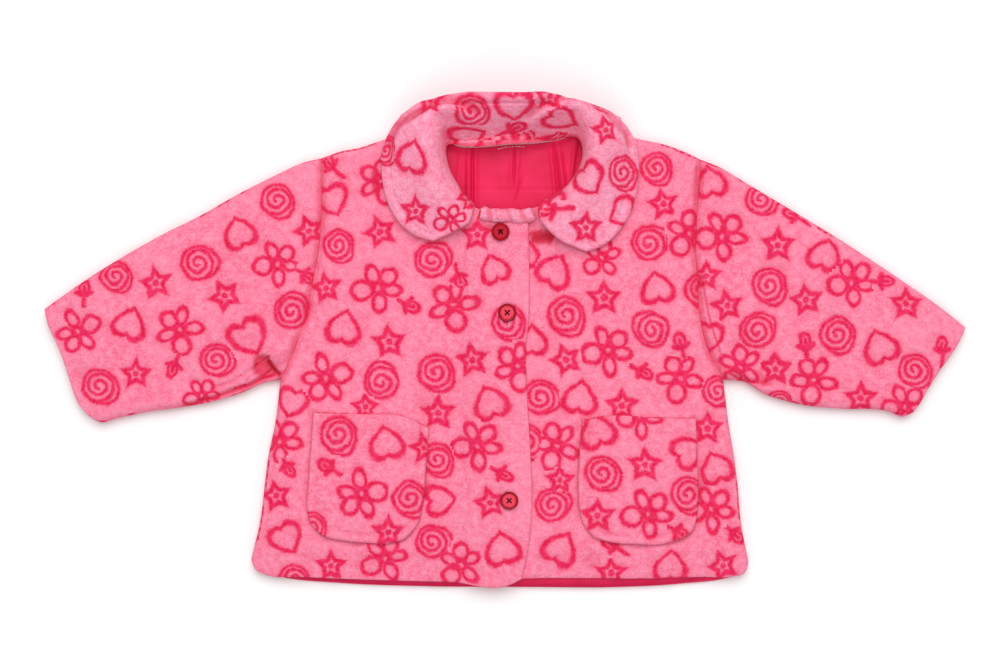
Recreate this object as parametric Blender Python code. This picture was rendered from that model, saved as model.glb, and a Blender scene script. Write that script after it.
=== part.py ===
"""A child's printed fleece jacket, buttoned and laid flat on its back.

Sizes are in millimetres and turned into metres when a mesh is made. X runs along the sleeves, Y from
hem to collar, and Z up from the surface that the jacket lies on. Left and right are the wearer's, so
the right sleeve is on the -X side. Plan points are (x, y). The origin is on the surface, below the
middle of the jacket.

Every cloth piece is a closed wall: a grid of points on its outer side, a second grid one cloth
thickness inside it, and a rim that joins the two.
"""

import math

import bmesh
import bpy
import numpy as np

MM = 0.001

# Cloth and layers
CLOTH = 3.3
LINING = 0.9
COLLAR_CLOTH = 4.4
GAP = 0.3
SEAM_GAP = 0.35
SEAM_HEIGHT = 5.5
BODY_HEIGHT = 11.0
EDGE_RADIUS = 7.0
HEM_Y = -180.0
HEM_DROOP = 2.3
HEM_DROOP_REACH = 26.0
CUFF_DROOP = 1.6
CUFF_DROOP_REACH = 30.0

# Length over which the folded shoulder edge turns into the open neckline or the armhole
SHOULDER_FADE = 9.0

# The lap: the right front rises over the left front's hidden edge
LAP_EDGE_X = -12.0
LAP_RISE = CLOTH + 0.5
LAP_RISE_WIDTH = 15.0
LAP_CLEAR = 9.0

# Buttons
BUTTON_RADIUS = 6.8
BUTTON_RIM_WIDTH = 1.3
BUTTON_RIM_HEIGHT = 0.9
BUTTON_THICKNESS = 2.0
BUTTON_EDGE_ROUND = 0.6
BUTTON_EDGE_FALL = 0.8
BUTTON_INNER_FALL = 0.1
BUTTON_FOOT_INSET = 1.2
BUTTON_FOOT_HEIGHT = 0.3
BUTTON_WAIST_INSET = 0.5
BUTTON_HOLE_RADIUS = 0.8
BUTTON_HOLE_SPACING = 2.7
BUTTON_HOLE_SIDES = 8
BUTTON_SIDES = 24

# Grid steps that follow a rounded edge, as angles from the edge to the flat
EDGE_ANGLES = (0.0, 32.0, 62.0, 90.0)

# Numbers of grid steps between the rounded edges
ARMHOLE_STEPS = 9
SIDE_STEPS = 9
LAST_SIDE_STEP = 8.0
SHOULDER_STEPS = 5
FRONT_STEPS = 12
BACK_SHOULDER_STEPS = 4
BACK_NECK_STEPS = 10
LINING_STEPS = 14
SLEEVE_STEPS = 12
FIRST_SLEEVE_STEP = 0.04
LAST_SLEEVE_STEP = 0.97

# Outline of the body, plan points from the shoulder tip down
ARMHOLE_RIGHT = ((-137, 136), (-137, 92), (-139, 67), (-142, 51), (-147, 26), (-156, -5), (-168, -30))
ARMHOLE_LEFT = ((147, 135), (144, 90), (143, 69), (144, 48), (147, 12), (151, -4), (164, -30))
SIDE_RIGHT = ((-168, -30), (-172, -63), (-177, -87), (-180, -111), (-183, -135), (-190, -165))
SIDE_LEFT = ((164, -30), (168, -63), (172, -87), (175, -111), (177, -135), (183, -167))
SHOULDER_RIGHT = ((-137, 136), (-123, 141), (-108, 144), (-93, 149), (-68, 155), (-46, 157))
SHOULDER_LEFT = ((147, 135), (132, 142), (117, 147), (102, 150), (80, 156), (60, 159))
NECKLINE_RIGHT = ((-46, 157), (-48, 144), (-45, 129), (-36, 112), (-23, 99), (-3, 95), (18, 93))
NECKLINE_LEFT = ((60, 159), (62, 144), (57, 126), (45, 110), (27, 100), (8, 96), (-12, 95))
NECKLINE_BACK = ((-46, 157), (-42, 149), (-35, 145), (-18, 143), (3, 145), (27, 147), (45, 150),
                 (55, 153), (60, 159))
PLACKET = ((18, 93), (18.5, 52), (18, 15), (16, -6), (17, -42), (19.5, -85), (20.5, -125), (17, -159),
           (13, -179))
LAP_EDGE = ((LAP_EDGE_X, 95), (LAP_EDGE_X, 0), (LAP_EDGE_X, -180))
HEM_RIGHT = ((-190, -165), (-186, -173), (-177, -177), (-153, -178), (-105, -180), (-38, -182),
             (3, -184), (13, -179))
HEM_LEFT = ((LAP_EDGE_X, -180), (19, -179), (72, -179), (117, -179), (147, -178), (172, -177.5),
            (180, -175), (183, -167))
HEM_BACK = ((-190, -165), (-185, -174), (-168, -178.5), (-123, -183), (-56, -185.5), (19, -186),
            (87, -186), (132, -183.5), (172, -178), (180, -175), (183, -167))

# Back lining, plan points: neck edge, sides from the neck down, and hem edge
LINING_TOP = ((-41, 146), (-35, 142), (-18, 141), (3, 143), (27, 145), (43, 147), (54, 152))
LINING_RIGHT = ((54, 152), (66, 120), (110, 60), (136, 10), (155, -40), (162, -90), (170, -170))
LINING_LEFT = ((-41, 146), (-54, 118), (-104, 60), (-136, 10), (-158, -40), (-166, -90), (-174, -170))
LINING_BOTTOM = ((-174, -170), (-160, -177), (-123, -181.5), (-56, -184.5), (19, -185.2), (87, -185),
                 (132, -182), (160, -176.5), (170, -170))

# Sleeves, plan points from the armhole to the cuff
SLEEVE_TOP_RIGHT = ((-137, 136), (-153, 132), (-168, 125), (-198, 110), (-228, 93), (-258, 78),
                    (-288, 61), (-318, 42), (-345, 23))
SLEEVE_BOTTOM_RIGHT = ((-168, -30), (-182, -33), (-195, -39), (-213, -45), (-243, -51), (-266, -54),
                       (-290, -59), (-303, -62), (-311, -58))
CUFF_RIGHT = ((-345, 23), (-342, 11), (-333, -9), (-326, -30), (-318, -50), (-311, -58))
SLEEVE_TOP_LEFT = ((147, 135), (162, 129), (177, 120), (207, 102), (237, 84), (267, 65), (297, 45),
                   (327, 24), (346, 9))
SLEEVE_BOTTOM_LEFT = ((164, -30), (180, -32), (195, -41), (207, -45), (223, -49), (252, -52),
                      (288, -54), (299, -58), (306, -55))
CUFF_LEFT = ((346, 9), (337, -8), (329, -19), (318, -36), (311, -48), (306, -55))

# Pockets: cloth, with how much thinner it is at the stitched edge and thicker in the middle
POCKET_CLOTH = 3.0
POCKET_EDGE_THINNER = 1.0
POCKET_PUFF = 1.2
POCKET_BORDER = 2.0
POCKET_STEPS = 9

# Pocket outlines, plan points
POCKET_RIGHT = {
    "top": ((-143, -54), (-110, -55.5), (-76, -57), (-56, -66)),
    "bottom": ((-136, -147), (-123, -150), (-105, -152), (-84, -152), (-74, -149)),
    "side_a": ((-143, -54), (-145, -84), (-147, -111), (-147.5, -128), (-144, -139), (-136, -147)),
    "side_b": ((-56, -66), (-58, -85), (-59, -105), (-61, -124), (-65, -138), (-74, -149)),
}
POCKET_LEFT = {
    "top": ((58, -60), (75, -57), (110, -58), (143, -59)),
    "bottom": ((67, -148), (77, -151), (99, -153), (118, -153), (132, -149)),
    "side_a": ((58, -60), (56, -84), (55, -111), (56, -128), (60, -140), (67, -148)),
    "side_b": ((143, -59), (144, -90), (144.5, -118), (143.5, -134), (140, -143), (132, -149)),
}

# Largest soft folds of the upper side: x, y, half length, half width, angle of its length, height
FOLDS = (
    (-195, 16, 42, 15, 31, 2.6),
    (-172, -8, 17, 7, 62, 2.6),
    (-178, -24, 12, 5, 40, -2.2),
    (-262, 8, 38, 15, -60, 1.3),
    (-300, -10, 30, 12, 65, 1.2),
    (-222, 62, 45, 14, 28, 1.2),
    (196, 2, 34, 12, -38, 1.6),
    (176, -22, 10, 6, -20, 2.0),
    (240, 40, 42, 14, -32, 1.4),
    (292, 2, 30, 12, -62, 1.2),
    (-105, 40, 16, 44, 8, 1.2),
    (-60, -20, 40, 12, 12, -1.0),
    (40, 10, 14, 50, 4, 1.2),
    (98, 60, 18, 40, -10, 1.3),
    (120, -20, 40, 12, -8, -1.0),
    (-166, -90, 8, 48, -5, 1.0),
    (160, -90, 8, 48, 5, 1.0),
)

# Collar sections from the middle of the back round the wearer's right side to its front end, and the
# same on the left. Each row: seam, stand, ridge, fall and outer edge, as (x, y, z) on the outer side.
COLLAR_RIGHT = (
    ((3, 145.5, 8), (3, 154, 17), (3, 163, 30), (3, 171.5, 41), (3, 179.5, 47)),
    ((-18, 143.5, 8), (-20.5, 151.5, 18), (-23, 161, 32), (-25.5, 170.5, 42), (-28, 180, 45)),
    ((-35, 144, 9), (-40, 152.5, 21), (-45, 162.5, 36), (-49, 170, 43.5), (-55, 178, 38)),
    ((-43.5, 149, 13), (-45, 155.5, 27), (-54.5, 163, 43.5), (-67, 168, 37), (-76, 170.5, 27)),
    ((-43.5, 138, 13.5), (-46.5, 145, 30), (-56, 147.5, 43), (-74, 153, 32), (-88, 154.5, 19.5)),
    ((-41.5, 128, 14), (-46, 132.5, 29), (-54, 132, 41), (-74.5, 131, 29), (-93.5, 130, 17)),
    ((-36, 118, 14.5), (-42, 121, 27), (-49, 117, 37), (-69.5, 109, 26), (-89, 102, 17)),
    ((-30, 109, 15), (-34.5, 110, 24.5), (-41, 104, 31.5), (-59, 94, 24), (-76.5, 82, 17)),
    ((-25, 103.5, 15.5), (-28, 101.5, 22), (-34, 95, 27), (-46.5, 86, 22.5), (-64, 74.5, 17)),
    ((-21.5, 99, 17), (-23, 94, 21), (-25.5, 87.5, 23), (-36, 80.5, 20.5), (-53, 73, 17)),
)
COLLAR_LEFT = (
    ((24, 146.5, 8), (26.5, 154.5, 18), (30.5, 163.5, 32), (34, 171.5, 42), (37.5, 179, 45)),
    ((42, 149.5, 9), (45.5, 156.5, 21), (49.5, 165, 36), (54, 171, 43.5), (63, 175.5, 38)),
    ((54.5, 154, 13), (57, 159, 27), (64, 166, 43.5), (75.5, 169, 36), (85.5, 165.5, 27)),
    ((58.5, 143, 13.5), (60, 147.5, 30), (68, 151, 43), (84.5, 154, 32), (98, 151.5, 19.5)),
    ((57, 132, 14), (60, 136.5, 29), (66.5, 136, 41), (83, 134, 29), (101.5, 131.5, 17)),
    ((51.5, 120.5, 14.5), (56, 124.5, 27), (62, 121, 37), (80.5, 113.5, 26), (99.5, 107.5, 17)),
    ((44, 112.5, 15), (47.5, 113.5, 24.5), (53, 108, 31.5), (70, 97, 24), (92, 87.5, 17)),
    ((36, 107, 15.5), (38.5, 105.5, 22), (43, 98.5, 28), (58, 86.5, 23.5), (77, 70, 17)),
    ((26.5, 102.5, 16.5), (24.5, 99, 21), (25.5, 91.5, 24), (39, 75, 21), (61, 65, 17)),
)
COLLAR_CLEAR = 0.6
COLLAR_RELAX = 3
COLLAR_EDGE = 3.0
COLLAR_FRONT_Y = 152.0
COLLAR_STEPS_AROUND = 46
COLLAR_STEPS_ACROSS = 11
COLLAR_CURVE_STEPS = 8

# Gathered band at the front of the neck, between the collar's ends
BAND_STEPS = 16
BAND_ARCH_POINTS = 8
BAND_PATH = ((-19, 95), (-8, 92.5), (4, 92.5), (15, 92), (22, 94))
BAND_HALF_WIDTH = 5.0
BAND_HEIGHT = 5.0
BAND_PUCKERS = 4.5
BAND_PUCKER_DEPTH = 0.22
BAND_WIDTH_PUCKER = 0.1

# Button centres and how far each leans towards the hem, in degrees
BUTTONS = (("button_top", -3, 80.5, 9.0), ("button_middle", 2, 20, 0.0), ("button_low", 3.5, -120, 0.0))

COLOURS = {
    "fleece": (0.93, 0.27, 0.42, 1.0),
    "collar": (0.95, 0.31, 0.45, 1.0),
    "lining": (0.78, 0.04, 0.13, 1.0),
    "button": (0.62, 0.03, 0.06, 1.0),
}


def clear_scene():
    for obj in list(bpy.data.objects):
        bpy.data.objects.remove(obj, do_unlink=True)


def material(name, colour, roughness):
    """A Principled material of one colour."""
    made = bpy.data.materials.new(name)
    made.use_nodes = True
    shader = made.node_tree.nodes["Principled BSDF"]
    shader.inputs["Base Color"].default_value = colour
    shader.inputs["Roughness"].default_value = roughness
    shader.inputs["Metallic"].default_value = 0.0
    made.diffuse_color = colour
    return made


def smooth_curve(points, steps=14):
    """A fine polyline on a smooth curve through the points, with their chords as its knots."""
    p = np.array(points, dtype=float)
    chord = np.linalg.norm(np.diff(p, axis=0), axis=1)
    knots = np.concatenate(([0.0], np.cumsum(chord)))
    slope = np.gradient(p, knots, axis=0)
    fine = []
    for i in range(len(p) - 1):
        for u in np.linspace(0.0, 1.0, steps, endpoint=False):
            h00 = 2 * u**3 - 3 * u**2 + 1
            h10 = u**3 - 2 * u**2 + u
            h01 = 3 * u**2 - 2 * u**3
            h11 = u**3 - u**2
            ends = h00 * p[i] + h01 * p[i + 1]
            bends = h10 * slope[i] + h11 * slope[i + 1]
            fine.append(ends + chord[i] * bends)
    fine.append(p[-1])
    return np.array(fine)


def length_of(line):
    return float(np.linalg.norm(np.diff(line, axis=0), axis=1).sum())


def along(line, distances):
    """Points of a polyline at distances along it."""
    reach = np.concatenate(([0.0], np.cumsum(np.linalg.norm(np.diff(line, axis=0), axis=1))))
    return np.stack([np.interp(distances, reach, line[:, k]) for k in range(line.shape[1])], axis=1)


def edge_steps(radius):
    """Distances from a rounded edge at which its grid lines run."""
    return [radius * (1.0 - math.cos(math.radians(a))) for a in EDGE_ANGLES]


def spread(start, stop, count):
    """Evenly spaced distances after start, up to and with stop."""
    return list(np.linspace(start, stop, count + 1)[1:])


def patch(top, bottom, left, right, s, t):
    """Plan points between four boundary rows: left and right run down, top and bottom run across."""
    s = np.asarray(s)[None, :, None]
    t = np.asarray(t)[:, None, None]
    across = (1 - t) * top[None] + t * bottom[None]
    down = (1 - s) * left[:, None] + s * right[:, None]
    corners = ((1 - s) * (1 - t) * top[0] + s * (1 - t) * top[-1]
               + (1 - s) * t * bottom[0] + s * t * bottom[-1])
    return across + down - corners


def folds_at(x, y):
    """Height that the soft folds add to the upper side."""
    total = np.zeros_like(x)
    for fx, fy, half_length, half_width, angle, height in FOLDS:
        turn = math.radians(angle)
        a = (x - fx) * math.cos(turn) + (y - fy) * math.sin(turn)
        b = (y - fy) * math.cos(turn) - (x - fx) * math.sin(turn)
        total += height * np.exp(-(a / half_length) ** 2 - (b / half_width) ** 2)
    return total


def ease(value):
    """Smooth step from 0 to 1."""
    v = np.clip(value, 0.0, 1.0)
    return v * v * (3 - 2 * v)


def body_top(x, y):
    """Height of the left front's upper side, and of the right front's away from its lap."""
    droop = HEM_DROOP * (1 - ease((y - HEM_Y) / HEM_DROOP_REACH))
    return BODY_HEIGHT + folds_at(x, y) - droop


def lap_top(x, y):
    """Height of the right front's upper side, which rises over the left front's edge."""
    start = LAP_EDGE_X - LAP_CLEAR - LAP_RISE_WIDTH
    return body_top(x, y) + LAP_RISE * ease((x - start) / LAP_RISE_WIDTH)


def unit(vectors):
    size = np.linalg.norm(vectors, axis=-1, keepdims=True)
    return vectors / np.maximum(size, 1e-9)


def shift_in(plan, side_a, side_b, top):
    """Moves plan points one cloth thickness in from rounded edges.

    side_a, side_b and top are grids from 0, flat cloth, to 1, on the edge itself."""
    across = unit(np.gradient(plan, axis=1))
    down = unit(np.gradient(plan, axis=0))
    moved = plan + CLOTH * side_a[..., None] * across
    moved = moved - CLOTH * side_b[..., None] * across
    return moved + CLOTH * top[..., None] * down


def rim_loop(rows, columns):
    """Grid places along the border of a grid, in order."""
    loop = [(0, j) for j in range(columns)]
    loop += [(i, columns - 1) for i in range(1, rows)]
    loop += [(rows - 1, j) for j in range(columns - 2, -1, -1)]
    loop += [(i, 0) for i in range(rows - 2, 0, -1)]
    return loop


def add_object(name, points, faces, colour, roughness=0.9):
    """One closed object from points in millimetres."""
    mesh = bpy.data.meshes.new(name)
    mesh.from_pydata([tuple(p * MM) for p in points], [], faces)
    work = bmesh.new()
    work.from_mesh(mesh)
    bmesh.ops.recalc_face_normals(work, faces=work.faces)
    work.to_mesh(mesh)
    work.free()
    obj = bpy.data.objects.new(name, mesh)
    obj.data.materials.append(material(name, colour, roughness))
    bpy.context.scene.collection.objects.link(obj)
    mesh.shade_smooth()
    mesh.set_sharp_from_angle(angle=math.radians(50))
    return obj


def add_wall(name, outer, inner, colour, roughness=0.9):
    """A closed wall between two grids of points."""
    rows, columns = outer.shape[:2]
    points = np.concatenate((outer.reshape(-1, 3), inner.reshape(-1, 3)))
    half = rows * columns
    faces = []
    for i in range(rows - 1):
        for j in range(columns - 1):
            a = i * columns + j
            quad = (a, a + 1, a + columns + 1, a + columns)
            faces.append(quad)
            faces.append(tuple(half + k for k in reversed(quad)))
    border = [i * columns + j for i, j in rim_loop(rows, columns)]
    for k, a in enumerate(border):
        b = border[(k + 1) % len(border)]
        faces.append((b, a, half + a, half + b))
    return add_object(name, points, faces, colour, roughness)


def add_tube(name, outer, inner, colour):
    """A closed wall between two tubes of loops, open at both ends."""
    loops, sides = outer.shape[:2]
    points = np.concatenate((outer.reshape(-1, 3), inner.reshape(-1, 3)))
    half = loops * sides
    faces = []
    for i in range(loops - 1):
        for j in range(sides):
            a = i * sides + j
            b = i * sides + (j + 1) % sides
            quad = (a, b, b + sides, a + sides)
            faces.append(quad)
            faces.append(tuple(half + k for k in reversed(quad)))
    for start in (0, (loops - 1) * sides):
        for j in range(sides):
            a = start + j
            b = start + (j + 1) % sides
            faces.append((a, b, half + b, half + a))
    return add_object(name, points, faces, colour)


def body_rows(armhole, side):
    """Row distances down one side: close together at the shoulder edge and at the underarm."""
    underarm = length_of(smooth_curve(armhole))
    total = underarm + length_of(smooth_curve(side))
    edge = edge_steps(EDGE_RADIUS)
    above = [underarm - d for d in reversed(edge)]
    rows = edge + spread(edge[-1], above[0], ARMHOLE_STEPS) + above[1:]
    rows += spread(underarm, total - LAST_SIDE_STEP, SIDE_STEPS) + [total]
    return np.array(rows), underarm, total


def side_weight(rows, underarm):
    """How far each row's outer end is a folded edge: 0 along the armhole, 1 below the underarm."""
    above = np.clip((underarm - rows) / EDGE_RADIUS, 0.0, 1.0)
    return 1.0 - np.sqrt(1.0 - (1.0 - above) ** 2)


def down_boundary(armhole, side, rows):
    line = np.concatenate((smooth_curve(armhole)[:-1], smooth_curve(side)))
    return along(line, rows)


def edge_flatness(angles, weight_a, angles_b, weight_b):
    """Grid of 0 on a folded edge to 1 on flat cloth, for a column edge and a row edge."""
    column = 1 - weight_a[:, None] * (1 - np.sin(angles))[None, :]
    row = 1 - weight_b[None, :] * (1 - np.sin(angles_b))[:, None]
    return column * row


def front(name, armhole, side, shoulder, neckline, closing, hem, height, colour):
    """A front panel, from its armhole and side seam to its closing edge."""
    rows, underarm, total = body_rows(armhole, side)
    edge = edge_steps(EDGE_RADIUS)
    shoulder_line = smooth_curve(shoulder)
    neck_line = smooth_curve(neckline)
    shoulder_length = length_of(shoulder_line)
    neck_length = length_of(neck_line)
    top_line = np.concatenate((shoulder_line[:-1], neck_line))
    shoulder_steps = edge + spread(edge[-1], shoulder_length, SHOULDER_STEPS)
    neck_steps = [shoulder_length + d for d in spread(0.0, neck_length, FRONT_STEPS)]
    top_distances = np.array(shoulder_steps + neck_steps)
    hem_line = smooth_curve(hem)
    hem_length = length_of(hem_line)
    flat_share = (top_distances[len(edge):] - edge[-1]) / (top_distances[-1] - edge[-1])
    hem_distances = np.concatenate((edge, edge[-1] + flat_share * (hem_length - edge[-1])))
    s = hem_distances / hem_length
    t = rows / total
    closing_line = smooth_curve(closing)
    plan = patch(along(top_line, top_distances), along(hem_line, hem_distances),
                 down_boundary(armhole, side, rows),
                 along(closing_line, t * length_of(closing_line)), s, t)

    column_angles = np.full(len(s), math.pi / 2)
    column_angles[:len(edge)] = np.radians(EDGE_ANGLES)
    row_angles = np.full(len(t), math.pi / 2)
    row_angles[:len(edge)] = np.radians(EDGE_ANGLES)
    on_side = side_weight(rows, underarm)
    on_shoulder = np.clip((shoulder_length - top_distances) / SHOULDER_FADE, 0.0, 1.0)
    flat = edge_flatness(column_angles, on_side, row_angles, on_shoulder)

    low = SEAM_HEIGHT + GAP / 2
    top = height(plan[..., 0], plan[..., 1])
    outer = np.dstack((plan, low + (top - low) * flat))
    side_shift = on_side[:, None] * np.cos(column_angles)[None, :]
    top_shift = on_shoulder[None, :] * np.cos(row_angles)[:, None]
    moved = shift_in(plan, side_shift, np.zeros_like(side_shift), top_shift)
    inner = np.dstack((moved, low + (top - CLOTH - low) * flat))
    return add_wall(name, outer, inner, colour)


def back_panel():
    """The back, flat on the surface, with its side and shoulder edges turned up to the seams."""
    rows_r, underarm_r, total_r = body_rows(ARMHOLE_RIGHT, SIDE_RIGHT)
    rows_l, underarm_l, total_l = body_rows(ARMHOLE_LEFT, SIDE_LEFT)
    edge = edge_steps(EDGE_RADIUS)
    right = smooth_curve(SHOULDER_RIGHT)
    neck = smooth_curve(NECKLINE_BACK)
    left = smooth_curve(SHOULDER_LEFT)[::-1]
    top_line = np.concatenate((right[:-1], neck[:-1], left))
    length_r = length_of(right)
    length_n = length_of(neck)
    length_l = length_of(left)
    total_top = length_r + length_n + length_l
    left_steps = spread(0.0, length_l - edge[-1], BACK_SHOULDER_STEPS)
    top_distances = edge + spread(edge[-1], length_r, BACK_SHOULDER_STEPS)
    top_distances += [length_r + d for d in spread(0.0, length_n, BACK_NECK_STEPS)]
    top_distances += [length_r + length_n + d for d in left_steps]
    top_distances += [total_top - d for d in reversed(edge[:-1])]
    top_distances = np.array(top_distances)
    hem_line = smooth_curve(HEM_BACK)
    hem_length = length_of(hem_line)
    inside = top_distances[len(edge) - 1:len(top_distances) - len(edge) + 1]
    share = (inside - inside[0]) / (inside[-1] - inside[0])
    middle = edge[-1] + share * (hem_length - 2 * edge[-1])
    hem_distances = np.concatenate((edge[:-1], middle, [hem_length - d for d in reversed(edge[:-1])]))
    s = hem_distances / hem_length
    t = rows_r / total_r
    plan = patch(along(top_line, top_distances), along(hem_line, hem_distances),
                 down_boundary(ARMHOLE_RIGHT, SIDE_RIGHT, rows_r),
                 down_boundary(ARMHOLE_LEFT, SIDE_LEFT, rows_l), s, t)

    side_a = np.full(len(s), math.pi / 2)
    side_a[:len(edge)] = np.radians(EDGE_ANGLES)
    side_b = side_a[::-1]
    row_angles = np.full(len(t), math.pi / 2)
    row_angles[:len(edge)] = np.radians(EDGE_ANGLES)
    weight_a = side_weight(rows_r, underarm_r)
    weight_b = side_weight(rows_l, underarm_l)
    from_right = np.clip((length_r - top_distances) / SHOULDER_FADE, 0.0, 1.0)
    from_left = np.clip((top_distances - length_r - length_n) / SHOULDER_FADE, 0.0, 1.0)
    on_shoulder = np.maximum(from_right, from_left)
    flat = (edge_flatness(side_a, weight_a, row_angles, on_shoulder)
            * (1 - weight_b[:, None] * (1 - np.sin(side_b))[None, :]))

    high = SEAM_HEIGHT - GAP / 2
    outer = np.dstack((plan, high * (1 - flat)))
    moved = shift_in(plan, weight_a[:, None] * np.cos(side_a)[None, :],
                     weight_b[:, None] * np.cos(side_b)[None, :],
                     on_shoulder[None, :] * np.cos(row_angles)[:, None])
    inner = np.dstack((moved, high - (high - CLOTH) * flat))
    return add_wall("back_panel", outer, inner, COLOURS["fleece"])


def back_lining():
    """The back's lining, a thin sheet on the back panel from the neck seam to the hem."""
    top = smooth_curve(LINING_TOP)
    right = smooth_curve(LINING_RIGHT)
    left = smooth_curve(LINING_LEFT)
    bottom = smooth_curve(LINING_BOTTOM)
    shares = np.linspace(0.0, 1.0, LINING_STEPS + 1)
    plan = patch(along(top, shares * length_of(top)), along(bottom, shares * length_of(bottom)),
                 along(left, shares * length_of(left)), along(right, shares * length_of(right)),
                 shares, shares)
    low = np.full(plan.shape[:2], CLOTH + GAP)
    return add_wall("back_lining", np.dstack((plan, low + LINING)), np.dstack((plan, low)),
                    COLOURS["lining"], 0.5)


def sleeve(name, armhole, top_points, bottom_points, cuff, colour):
    """A sleeve, one flat tube of cloth with rounded folds at its top and bottom."""
    edge = edge_steps(EDGE_RADIUS)
    armhole_line = smooth_curve(armhole)
    cuff_line = smooth_curve(cuff)
    top_line = smooth_curve(top_points)
    bottom_line = smooth_curve(bottom_points)

    def across(line):
        size = length_of(line)
        inside = spread(edge[-1], size - edge[-1], ARMHOLE_STEPS)
        return np.array(edge + inside + [size - d for d in reversed(edge[:-1])])

    reach = length_of(top_line)
    inside = np.linspace(FIRST_SLEEVE_STEP, LAST_SLEEVE_STEP, SLEEVE_STEPS + 1)
    stations = np.concatenate(([SEAM_GAP / reach], inside, [1.0]))
    arm_distances = across(armhole_line)
    share = arm_distances / arm_distances[-1]
    plan = patch(along(armhole_line, arm_distances), along(cuff_line, across(cuff_line)),
                 along(top_line, stations * reach),
                 along(bottom_line, stations * length_of(bottom_line)), share, stations)
    angles = np.full(len(share), math.pi / 2)
    angles[:len(edge)] = np.radians(EDGE_ANGLES)
    angles[-len(edge):] = np.radians(EDGE_ANGLES)[::-1]
    flat = np.broadcast_to(np.sin(angles)[None, :], plan.shape[:2])
    inward = np.cos(angles)
    half = len(angles) // 2
    toward_b = np.where(np.arange(len(angles)) < half, inward, 0.0)
    toward_a = np.where(np.arange(len(angles)) >= half, inward, 0.0)
    rows = plan.shape[0]
    moved = shift_in(plan, np.tile(toward_b, (rows, 1)), np.tile(toward_a, (rows, 1)),
                     np.zeros(plan.shape[:2]))

    to_cuff = (1 - stations) * reach
    droop = CUFF_DROOP * (1 - ease(to_cuff / CUFF_DROOP_REACH))
    top = BODY_HEIGHT + folds_at(plan[..., 0], plan[..., 1]) - droop[:, None]
    upper = SEAM_HEIGHT + (top - SEAM_HEIGHT) * flat
    lower = SEAM_HEIGHT * (1 - flat)
    upper_in = SEAM_HEIGHT + (top - CLOTH - SEAM_HEIGHT) * flat
    lower_in = SEAM_HEIGHT - (SEAM_HEIGHT - CLOTH) * flat

    def loops(points, high, low):
        """Upper points from fold to fold, then the lower ones back, without the shared fold points."""
        above = np.dstack((points, high))
        below = np.dstack((points, low))[:, -2:0:-1]
        return np.concatenate((above, below), axis=1)

    return add_tube(name, loops(plan, upper, lower), loops(moved, upper_in, lower_in), colour)


def relaxed(grid, passes):
    """Evens out a grid: inner points towards their four neighbours, border points along the border."""
    for _ in range(passes):
        even = grid.copy()
        around = grid[:-2, 1:-1] + grid[2:, 1:-1] + grid[1:-1, :-2] + grid[1:-1, 2:]
        even[1:-1, 1:-1] = grid[1:-1, 1:-1] / 2 + around / 8
        for k in (0, -1):
            even[1:-1, k] = grid[1:-1, k] / 2 + (grid[:-2, k] + grid[2:, k]) / 4
        grid = even
    return grid


def collar():
    """The collar: open and leaning back behind the neck, rolled over at the sides and the front."""
    sections = np.array(tuple(reversed(COLLAR_RIGHT)) + COLLAR_LEFT, dtype=float)
    shares = np.linspace(0, 1, COLLAR_STEPS_ACROSS)
    stations = [smooth_curve(row, COLLAR_CURVE_STEPS) for row in sections]
    across = np.array([along(line, shares * length_of(line)) for line in stations])

    middle = smooth_curve(across[:, COLLAR_STEPS_ACROSS // 2], COLLAR_CURVE_STEPS)
    order = np.arange(len(middle))
    reach = np.concatenate(([0.0], np.cumsum(np.linalg.norm(np.diff(middle, axis=0), axis=1))))
    even = np.linspace(0, reach[-1], COLLAR_STEPS_AROUND + 1)
    places = np.interp(even, reach, order)
    columns = []
    for k in range(COLLAR_STEPS_ACROSS):
        line = smooth_curve(across[:, k], COLLAR_CURVE_STEPS)
        column = [np.interp(places, order, line[:, axis]) for axis in range(3)]
        columns.append(np.stack(column, axis=1))
    outer = relaxed(np.stack(columns, axis=1), COLLAR_RELAX)
    round_way = np.gradient(outer, axis=0)
    cross_way = np.gradient(outer, axis=1)
    normal = unit(np.cross(round_way, cross_way))
    if normal[COLLAR_STEPS_AROUND // 2, COLLAR_STEPS_ACROSS // 2, 2] < 0:
        normal = -normal
    inner = relaxed(outer - normal * COLLAR_CLOTH, COLLAR_RELAX)
    x, y = inner[..., 0], inner[..., 1]
    floor = np.where(x < PLACKET[0][0], lap_top(x, y), body_top(x, y)) + COLLAR_CLEAR
    over_front = y < COLLAR_FRONT_Y
    inner[..., 2] = np.where(over_front, np.maximum(inner[..., 2], floor), inner[..., 2])
    outer[..., 2] = np.maximum(outer[..., 2], inner[..., 2] + COLLAR_EDGE)
    return add_wall("collar", outer, inner, COLOURS["collar"])


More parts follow.
